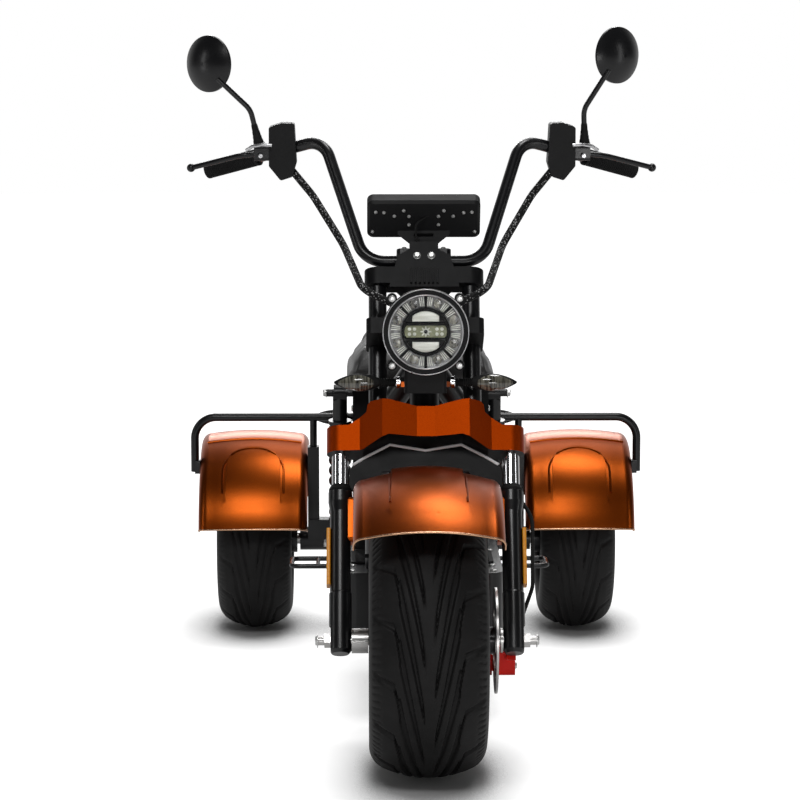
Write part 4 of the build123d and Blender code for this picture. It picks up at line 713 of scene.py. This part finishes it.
def leaf(side, root, place, facing):
    """Shell, lens and nuts of one signal that starts at root, in millimetres from the middle."""
    across = Vector((side, 0, 0))
    stalk_end, widest, tip = root + 45, root + 78, root + 126
    base = Vector((0, place.y, place.z))
    profile = [(root + 15, 7)]
    for k in range(9):
        profile += [(root + 16 + 3.4 * k, 8.2), (root + 17.8 + 3.4 * k, 6.6)]
    curve = arc((stalk_end, 7.5), ((stalk_end + widest) / 2, 13.7), (widest, 15.8), 8)
    curve += arc((widest, 15.8), (0.4 * widest + 0.6 * tip, 10.8), (tip, 1.6), 10)
    shell = Solid()
    shell.lathe(base, across, profile + curve + [(tip, 1.6), (tip, 0)], 40)

    lens = Solid()
    front, back = [], []
    lens_start, lens_end = stalk_end + 10, tip - 8
    for k in range(LENS_ROWS + 1):
        reach = lens_start + (lens_end - lens_start) * k / LENS_ROWS
        bulge = np.interp(reach, [p[0] for p in curve], [p[1] for p in curve]) + 0.9
        fullness = math.sin(math.pi * (k + 0.6) / (LENS_ROWS + 1.2)) ** 0.5
        middle = base + across * reach / 1000
        arms = []
        for j in range(LENS_COLUMNS + 1):
            tilt = math.radians(-62 + 124 * j / LENS_COLUMNS) * fullness
            arms.append((facing * math.cos(tilt) + ABOVE * math.sin(tilt)) * bulge / 1000)
        front.append(lens.ring([middle + arm for arm in arms]))
        back.append(lens.ring([middle + arm * LENS_INSIDE for arm in arms]))
    lens.slab(front, back)

    nuts = Solid()
    nuts.lathe(base, across, [(root, 10), (root + 6, 10), (root + 7, 9), (root + 7, 0)], 6)
    nuts.lathe(base, across, [(root + 8, 10.5), (root + 14, 10.5), (root + 15, 9.5), (root + 15, 0)], 28)
    nuts.lathe(base, across, [(root, 6), (root + 16, 6)], 20)
    return shell, lens, nuts


def signals(prefix, body, node, root, facing, nut_finish, nut_slot):
    low, high = (Vector(corner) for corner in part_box(node))
    shell, lens, nuts = Solid(), Solid(), Solid()
    for side in (1, -1):
        for whole, half in zip((shell, lens, nuts), leaf(side, root, (low + high) / 2, facing)):
            whole.take(half)
    shell.done(f"{prefix}_bodies", body, rubber, "black_plastic", [node])
    lens.done(f"{prefix}_lenses", body, smoke_lens, "amber_lens")
    nuts.done(f"{prefix}_nuts", body, nut_finish, nut_slot)


signals("front_signal", "steering", "front_signals", 38, AHEAD, chrome, "chrome")
signals("rear_signal", "chassis", "rear_signals", 95, -AHEAD, black_paint, "black_paint")


# Grips: ribbed rubber between end flanges
crest, bar_end = at_bar(185, 131, 217), at_bar(404, 251, 153)
RIB_PITCH, RIB_COUNT = 4.2, 24
ribbed = [(-112, 12), (-112, 16.4), (-108, 16.4), (-107, 15.2)]
for k in range(RIB_COUNT):
    start = -104 + RIB_PITCH * k
    ribbed += [(start, 15.0), (start + 1, 16.2), (start + 2.6, 16.2), (start + 3.4, 15.0)]
ribbed += [(-1, 15.4), (0, 16.4), (3.6, 16.2), (4.8, 13), (4.8, 0)]
grips = Solid()
for side in (1, -1):
    turned = Matrix.Diagonal((side, 1, 1))
    grips.lathe(turned @ bar_end, turned @ (bar_end - crest), ribbed, 40)
grips.done("ribbed_grips", "steering", rubber, "rubber", ["bar_grips"], sharp=50)


# Fasteners and small fittings sit on the solids where a line first meets them
SURFACES = {}


def touch(node, start, aim):
    """Where a line from start first meets a solid."""
    if node not in SURFACES:
        mesh = nodes[node].data
        corners = [p.co for p in mesh.vertices]
        SURFACES[node] = BVHTree.FromPolygons(corners, [f.vertices for f in mesh.polygons])
    place = SURFACES[node].ray_cast(start, aim.normalized())[0]
    if place is None:
        raise ValueError(f"no surface of {node} at {tuple(start)}")
    return place


LEAN = math.radians(25)
DASH = at_bar(0, 3, 76)
DASH_UP = Vector((0, -math.sin(LEAN), math.cos(LEAN)))
DASH_AHEAD = Vector((0, -math.cos(LEAN), -math.sin(LEAN)))
DASH_SCREWS = ((88, 17), (73, 16), (54, 8.5), (36.7, 20), (27, 8), (27, -9.5), (94, -24))

screws = Solid()
for angle in (45, 135, 225, 315):
    screws.screw(touch("headlight_guard", in_lamp(angle, 85, -60), -AHEAD), AHEAD, 6, 4.5)
for side in (1, -1):
    sideways = RIGHT * side
    for across, height in DASH_SCREWS:
        start = DASH + (sideways * across + DASH_UP * height + DASH_AHEAD * 80) / 1000
        screws.screw(touch("dash_panel", start, -DASH_AHEAD), DASH_AHEAD, 3.2, 2.4)
    screws.bolt(touch("dash_bracket", fork(side * 13, -90, 719), BACK), -BACK, 9, 5)
    for up in (210, 190):
        screws.bolt(touch("front_fender", fork(side * 60, 0, up), sideways), -sideways, 9, 4)
    for back in (-12, 12):
        screws.screw(touch("bar_risers", fork(side * 36, 10 + back, 850), -UP), UP, 5, 5)
    screws.bolt(touch("brake_levers", at_bar(side * 303, 159, 300), -ABOVE), ABOVE, 9, 5)
    screws.bolt(touch("front_axle", AXLE + sideways * 0.4, -sideways), sideways, 16, 5)
for back, down in ((50, 30), (66, 60)):
    screws.screw(touch("front_caliper", AXLE + Vector((0.3, back / 1000, -down / 1000)), -RIGHT), RIGHT, 6, 5)
screws.done("steering_fasteners", "steering", zinc, "steel")

# Chassis fasteners: deck corners, seat base sides and shock ends
bolts = Solid()
for side in (1, -1):
    sideways = RIGHT * side
    for behind in (372, 425, 575):
        bolts.screw(touch("deck_box", spot(side * 132, behind, 600), -ABOVE), ABOVE, 6, 3)
    for behind, height in ((640, 330), (640, 560), (1130, 560), (1130, 420)):
        bolts.screw(touch("seat_base", spot(side * 400, behind, height), -sideways), sideways, 6, 3)
    for behind, height in ((1075, 212), (1045, 535)):
        bolts.bolt(touch("rear_shocks", spot(side * 500, behind, height), -sideways), sideways, 14, 7)
bolts.done("chassis_fasteners", "chassis", zinc, "steel")

# Wheels: hub nuts, wheel bolts and valve stems
disc_screws = Solid()
for k in range(5):
    turn = 2 * math.pi * k / 5
    outward = Vector((0, math.cos(turn), math.sin(turn)))
    disc_screws.screw(touch("front_disc", AXLE + RIGHT * 0.4 + outward * 0.030, -RIGHT), RIGHT, 4.5, 1.6)
disc_screws.done("front_disc_screws", "front_wheel", zinc, "steel")
for name, side in (("left", 1), ("right", -1)):
    sideways = RIGHT * side
    hub = REAR_AXLE + sideways * WHEEL_X / 1000
    hub_nuts = Solid()
    hub_nuts.bolt(touch(f"rear_shaft_{name}", hub + sideways * 0.3, -sideways), sideways, 22, 9)
    for k in range(4):
        turn = math.pi * (k + 0.5) / 2
        start = hub + sideways * 0.3 + Vector((0, math.cos(turn), math.sin(turn))) * 0.036
        hub_nuts.bolt(touch(f"rear_rim_{name}", start, -sideways), sideways, 10, 5)
    hub_nuts.done(f"rear_hub_nuts_{name}", f"rear_wheel_{name}", zinc, "steel")
STEM = [(-2, 4.5), (4, 4.2), (14, 3.2), (14, 3.9), (23, 3.7), (24, 2.8), (24, 0)]
for wheel, node, start, side in (
    ("front_wheel", "front_rim", AXLE - RIGHT * 0.3 + ABOVE * 0.151, -1),
    ("rear_wheel_left", "rear_rim_left", REAR_AXLE + RIGHT * 0.7 + ABOVE * 0.079, 1),
    ("rear_wheel_right", "rear_rim_right", REAR_AXLE - RIGHT * 0.7 + ABOVE * 0.079, -1),
):
    valve = Solid()
    valve.lathe(touch(node, start, RIGHT * -side), RIGHT * side, STEM, 20)
    valve.done(f"{wheel}_valve", wheel, rubber, "rubber")


# Fenders: each sheet without the fine slivers where its hood leaves it
def pressed(name, node, body):
    mesh = nodes[node].data.copy()
    shape = bmesh.new()
    shape.from_mesh(mesh)
    bmesh.ops.remove_doubles(shape, verts=shape.verts, dist=0.0004)
    bmesh.ops.dissolve_degenerate(shape, edges=shape.edges, dist=0.0006)
    shape.to_mesh(mesh)
    shape.free()
    if mesh.has_custom_normals:
        mesh.attributes.remove(mesh.attributes["custom_normal"])
    mesh.shade_smooth()
    mesh.set_sharp_from_angle(angle=math.radians(24))
    piece = bpy.data.objects.new(name, mesh)
    scene.collection.objects.link(piece)
    settle(piece, body, copper, [node])


for side in ("left", "right"):
    pressed(f"rear_fender_sheet_{side}", f"rear_fender_{side}", "chassis")
pressed("front_fender_sheet", "front_fender", "steering")


# Rolled edges of the fenders, in a paler copper as a painted highlight along the lips
def lip(bead, centre, radius, width, drop, skirt, angle):
    """A bead over the section of a fender's end: its crown, shoulders and straight skirts."""
    half, edge, low = width / 2, width / 2 - 20, radius - drop - 20
    shoulder = arc((edge, radius - drop), (edge + 14.14, low + 14.14), (half, low), 8)
    right = shoulder + [(half, low), (half, low - skirt)]
    section = [(-u, v) for u, v in reversed(right[1:])]
    section += arc((-edge, radius - drop), (0, radius), (edge, radius - drop), 24) + right
    turn = math.radians(angle)
    outward = Vector((0, -math.cos(turn), math.sin(turn)))
    bead.tube([centre + (RIGHT * u * 0.994 + outward * (v - 1.5)) / 1000 for u, v in section], 2.1, 10)


FRONT_FENDER = {"radius": 299, "width": 258, "drop": 16, "skirt": 10}
REAR_FENDER = {"radius": 235, "width": 228, "drop": 7, "skirt": 16}
front_lip = Solid()
for angle in (50, 140):
    lip(front_lip, AXLE, angle=angle, **FRONT_FENDER)
front_lip.done("front_fender_lip", "steering", lip_highlight_paint, "copper_paint")
rear_lips = Solid()
for side in (1, -1):
    for angle in (15, 165):
        lip(rear_lips, REAR_AXLE + RIGHT * side * WHEEL_X / 1000, angle=angle, **REAR_FENDER)
rear_lips.done("rear_fender_lips", "chassis", lip_highlight_paint, "copper_paint")


# Pressed creases along the hoods, and the rib across the top of each rear fender
def crease(bead, node, centre, angle, places, radius):
    """A bead over a fender along (across, along) pairs in the plane that faces an angle."""
    turn = math.radians(angle)
    outward = Vector((0, -math.cos(turn), math.sin(turn)))
    along = Vector((0, math.sin(turn), math.cos(turn)))
    starts = [centre + (RIGHT * u + along * v + outward * 600) / 1000 for u, v in places]
    bead.tube([touch(node, start, -outward) for start in starts], radius, 8)


front_creases = Solid()
for side in (1, -1):
    crease(front_creases, "front_fender", AXLE, 92, [(side * 66, -4 * k) for k in range(8, 34)], 2.2)
front_creases.done("front_fender_creases", "steering", copper, "copper_paint")
HOOD_HALF = 64
arch = [(-HOOD_HALF, -50 + 6 * k) for k in range(9)]
for k in range(21):
    turn = math.radians(9 * k)
    arch.append((-HOOD_HALF * math.cos(turn), 3 + HOOD_HALF * math.sin(turn)))
arch += [(HOOD_HALF, -2 - 6 * k) for k in range(9)]
rear_creases = Solid()
for name, side in (("left", 1), ("right", -1)):
    hub = REAR_AXLE + RIGHT * side * WHEEL_X / 1000
    crease(rear_creases, f"rear_fender_{name}", hub, 47, arch, 2.4)
    crease(rear_creases, f"rear_fender_{name}", hub, 90, [(-100 + 8 * k, -62) for k in range(26)], 3)
rear_creases.done("rear_fender_creases", "chassis", copper, "copper_paint")

# Fork: dust seals on the sliders, and a white bead along the brace's top edge as a painted highlight
seals = Solid()
for side in (1, -1):
    profile = [(-1, 15.6), (-1, 20.6), (3, 20.8), (5, 18.6), (9, 17.6), (10, 16.4), (10, 15.6)]
    seals.lathe(fork(side * LEG_X, 0, 276), UP, profile, 48)
seals.done("dust_seals", "steering", rubber, "rubber")
BRACE_TOP = ((0, 352), (64, 363), (108.5, 339), (130.5, 325))
edge_path = [fork(-x, -2.2, up) for x, up in reversed(BRACE_TOP[1:])]
edge_path += [fork(x, -2.2, up) for x, up in BRACE_TOP]
# The bead along the brace's top edge is painted white, as a painted highlight.
brace_highlight_bead = Solid()
brace_highlight_bead.tube(edge_path, 2.8, 12)
brace_highlight_bead.done("brace_highlight_bead", "steering", edge_highlight_paint, "alloy")

# Headlight rim and the fins between the bracket and the lamp
rim = Solid()
rim.tube([in_lamp(5 * k, 66.2, 1.2) for k in range(73)], 1.1, 10)
rim.tube([in_lamp(5 * k, 76.4, 0.2) for k in range(73)], 0.9, 10)
rim.done("headlight_rim", "steering", alloy, "alloy")
fins = Solid()
fin_base = touch("dash_bracket", fork(0, -90, 664), BACK) + BACK * 0.001
for across in (-24, -16, -8, 0, 8, 16, 24):
    outline = [(across - 1.6, 0), (across + 1.6, 0), (across + 1.6, 30), (across - 1.6, 30)]
    fins.plate(fin_base, RIGHT, UP, outline, [(0, 0), (5, 0), (6, 1)])
fins.done("bracket_fins", "steering", black_satin, "black_plastic")

# Handlebar: rubber boots on the mirror stems and cable adjusters at the levers
FOLDS = [(0, 11.5), (4, 11.5), (5, 10), (11, 9.4), (12, 8.6), (19, 8.2), (20, 7.6), (28, 7.2), (29, 6.6)]
FOLDS += [(40, 6), (43, 5.2), (43, 0)]
KNURL = ((-3, 3.4), (6, 3.4), (6, 4.4), (12, 4.4), (13, 3.6), (13, 2.6), (20, 2.4), (20, 0))
LEVER_ROD = ((282, 136, 206), (300, 136, 207), (318, 142, 204), (330, 150, 196))
boots, adjusters = Solid(), Solid()
for side, bend in ((1, 303), (-1, 322)):
    stem_base, stem_bend = at_bar(side * 306, 161, 204), at_bar(side * bend, 149, 272)
    boots.lathe(stem_base, stem_bend - stem_base, FOLDS, 32)
    adjusters.lathe(touch("brake_levers", at_bar(side * 303, 0, 186), -AHEAD), AHEAD, KNURL, 24)
    adjusters.tube([at_bar(side * x, behind, height) for x, behind, height in LEVER_ROD], 3.4, 10)
boots.done("mirror_boots", "steering", rubber, "rubber")
adjusters.done("cable_adjusters", "steering", alloy, "alloy")

# Deck mat and tail lamp: raised ribs
treads = Solid()
mat_low, mat_high = (Vector(corner) * 1000 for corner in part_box("deck_mat"))
mat_top = Vector((0, 0, (mat_high.z - 0.5) / 1000))
rib_half = (mat_high.x - mat_low.x) / 2 - 8
for k in range(10):
    behind = mat_low.y + 8 + k * (mat_high.y - mat_low.y - 16) / 9
    outline = [(-rib_half, behind - 2), (rib_half, behind - 2)]
    outline += [(rib_half, behind + 2), (-rib_half, behind + 2)]
    treads.plate(mat_top, RIGHT, -AHEAD, outline, [(0, 0), (2, 0), (2.6, 0.8)])
treads.done("deck_mat_ribs", "chassis", rubber, "rubber")
lens_low, lens_high = (Vector(corner) * 1000 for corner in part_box("tail_lamp"))
lens_face = Vector((0, (lens_high.y - 0.8) / 1000, 0))
lens_ribs = Solid()
for k in range(14):
    across = 56 - 8.6 * k
    outline = [(across + 1.3, lens_low.z + 5), (across - 1.3, lens_low.z + 5)]
    outline += [(across - 1.3, lens_high.z - 5), (across + 1.3, lens_high.z - 5)]
    lens_ribs.plate(lens_face, -RIGHT, ABOVE, outline, [(0, 0), (1.6, 0), (2.2, 0.6)])
lens_ribs.done("tail_lamp_ribs", "chassis", red_lens, "red_lens")


# Camera, at the photograph's place
view = bpy.data.cameras.new("camera")
view.lens = 137.07
view.sensor_width = 36
view.clip_end = 60
camera = bpy.data.objects.new("camera", view)
camera.location = (-0.1123, -5.8514, 1.3925)
camera.rotation_euler = (math.radians(90 - 7.914), 0, math.radians(-0.7057))
scene.collection.objects.link(camera)
scene.camera = camera


# Floor, light and world
def plain_light(name, place, aim, size, power):
    lamp = bpy.data.lights.new(name, "AREA")
    lamp.shape = "RECTANGLE"
    lamp.size, lamp.size_y = size
    lamp.energy = power
    holder = bpy.data.objects.new(name, lamp)
    holder.location = place
    holder.rotation_euler = (Vector(aim) - Vector(place)).to_track_quat("-Z", "Y").to_euler()
    scene.collection.objects.link(holder)


plain_light("overhead", (0.5, 0.5, 4.2), (0, 0.1, 0.5), (1.4, 1.0), 46)
plain_light("ceiling", (0.25, 2.3, 3.4), (0, -0.3, 0.5), (2.0, 1.2), 14)
plain_light("key", (-0.5, -3.6, 3.9), (0, -0.2, 0.4), (1.6, 0.9), 58)
plain_light("strip_left", (3.6, -1.4, 1.4), (0, 0, 0.6), (0.35, 2.2), 9)
plain_light("strip_right", (-3.6, -1.0, 1.4), (0, 0, 0.6), (0.35, 2.2), 9)
plain_light("fill", (0.7, -5.0, 0.7), (0.1, -0.4, 0.3), (1.6, 0.7), 26)
plain_light("rear", (0, 4.6, 2.2), (0, 0, 0.5), (2.4, 0.6), 40)

bpy.ops.mesh.primitive_circle_add(vertices=96, radius=14, fill_type="NGON", location=(0, 0, 0))
floor = bpy.context.object
floor.name = "floor"
floor_paint = Shader("floor_paint", shade(0.45), 0.0, 0.9)
floor_paint.set("Emission Color", (1, 1, 1, 1))
# Painted contact shadow: the floor's white glow fades where ambient occlusion finds the scooter close. The
# darkening of the lit floor itself is real shadow.
painted_contact_shadow = floor_paint.node("ShaderNodeAmbientOcclusion", Distance=0.20, samples=8)
opened = floor_paint.node("ShaderNodeMapRange")
opened.inputs["From Min"].default_value = 0.5
opened.inputs["From Max"].default_value = 0.92
floor_paint.link(painted_contact_shadow.outputs["AO"], opened.inputs["Value"])
rays = floor_paint.node("ShaderNodeLightPath").outputs
dimmed = floor_paint.combine("MULTIPLY", rays["Is Glossy Ray"], 0.4)
seen = floor_paint.combine("MAXIMUM", rays["Is Camera Ray"], dimmed)
seen = floor_paint.combine("MAXIMUM", seen, rays["Is Transmission Ray"])
glow = floor_paint.combine("MULTIPLY", seen, opened.outputs["Result"])
floor_paint.link(glow, floor_paint.main.inputs["Emission Strength"])
coat(floor, floor_paint)

# A white sweep behind the scooter, falling off to a dim studio in front of it
world = bpy.data.worlds.new("studio")
world.use_nodes = True
scene.world = world
sky = world.node_tree
backdrop = sky.nodes["Background"]
backdrop.inputs["Color"].default_value = (1, 1, 1, 1)
sky_rays = sky.nodes.new("ShaderNodeLightPath")
direct = sky.nodes.new("ShaderNodeMath")
direct.operation = "MAXIMUM"
sky.links.new(sky_rays.outputs["Is Camera Ray"], direct.inputs[0])
sky.links.new(sky_rays.outputs["Is Transmission Ray"], direct.inputs[1])
direction = sky.nodes.new("ShaderNodeTexCoord")
axes = sky.nodes.new("ShaderNodeSeparateXYZ")
sky.links.new(direction.outputs["Generated"], axes.inputs["Vector"])
sweep = sky.nodes.new("ShaderNodeMapRange")
sweep.inputs["From Min"].default_value = 0.35
sweep.inputs["From Max"].default_value = 0.95
sweep.inputs["To Min"].default_value = 0.05
sweep.inputs["To Max"].default_value = 0.85
sky.links.new(axes.outputs["Y"], sweep.inputs["Value"])
level = sky.nodes.new("ShaderNodeMix")
sky.links.new(direct.outputs[0], level.inputs["Factor"])
sky.links.new(sweep.outputs["Result"], level.inputs["A"])
level.inputs["B"].default_value = 1.0
sky.links.new(level.outputs["Result"], backdrop.inputs["Strength"])

scene.view_settings.view_transform = "Standard"
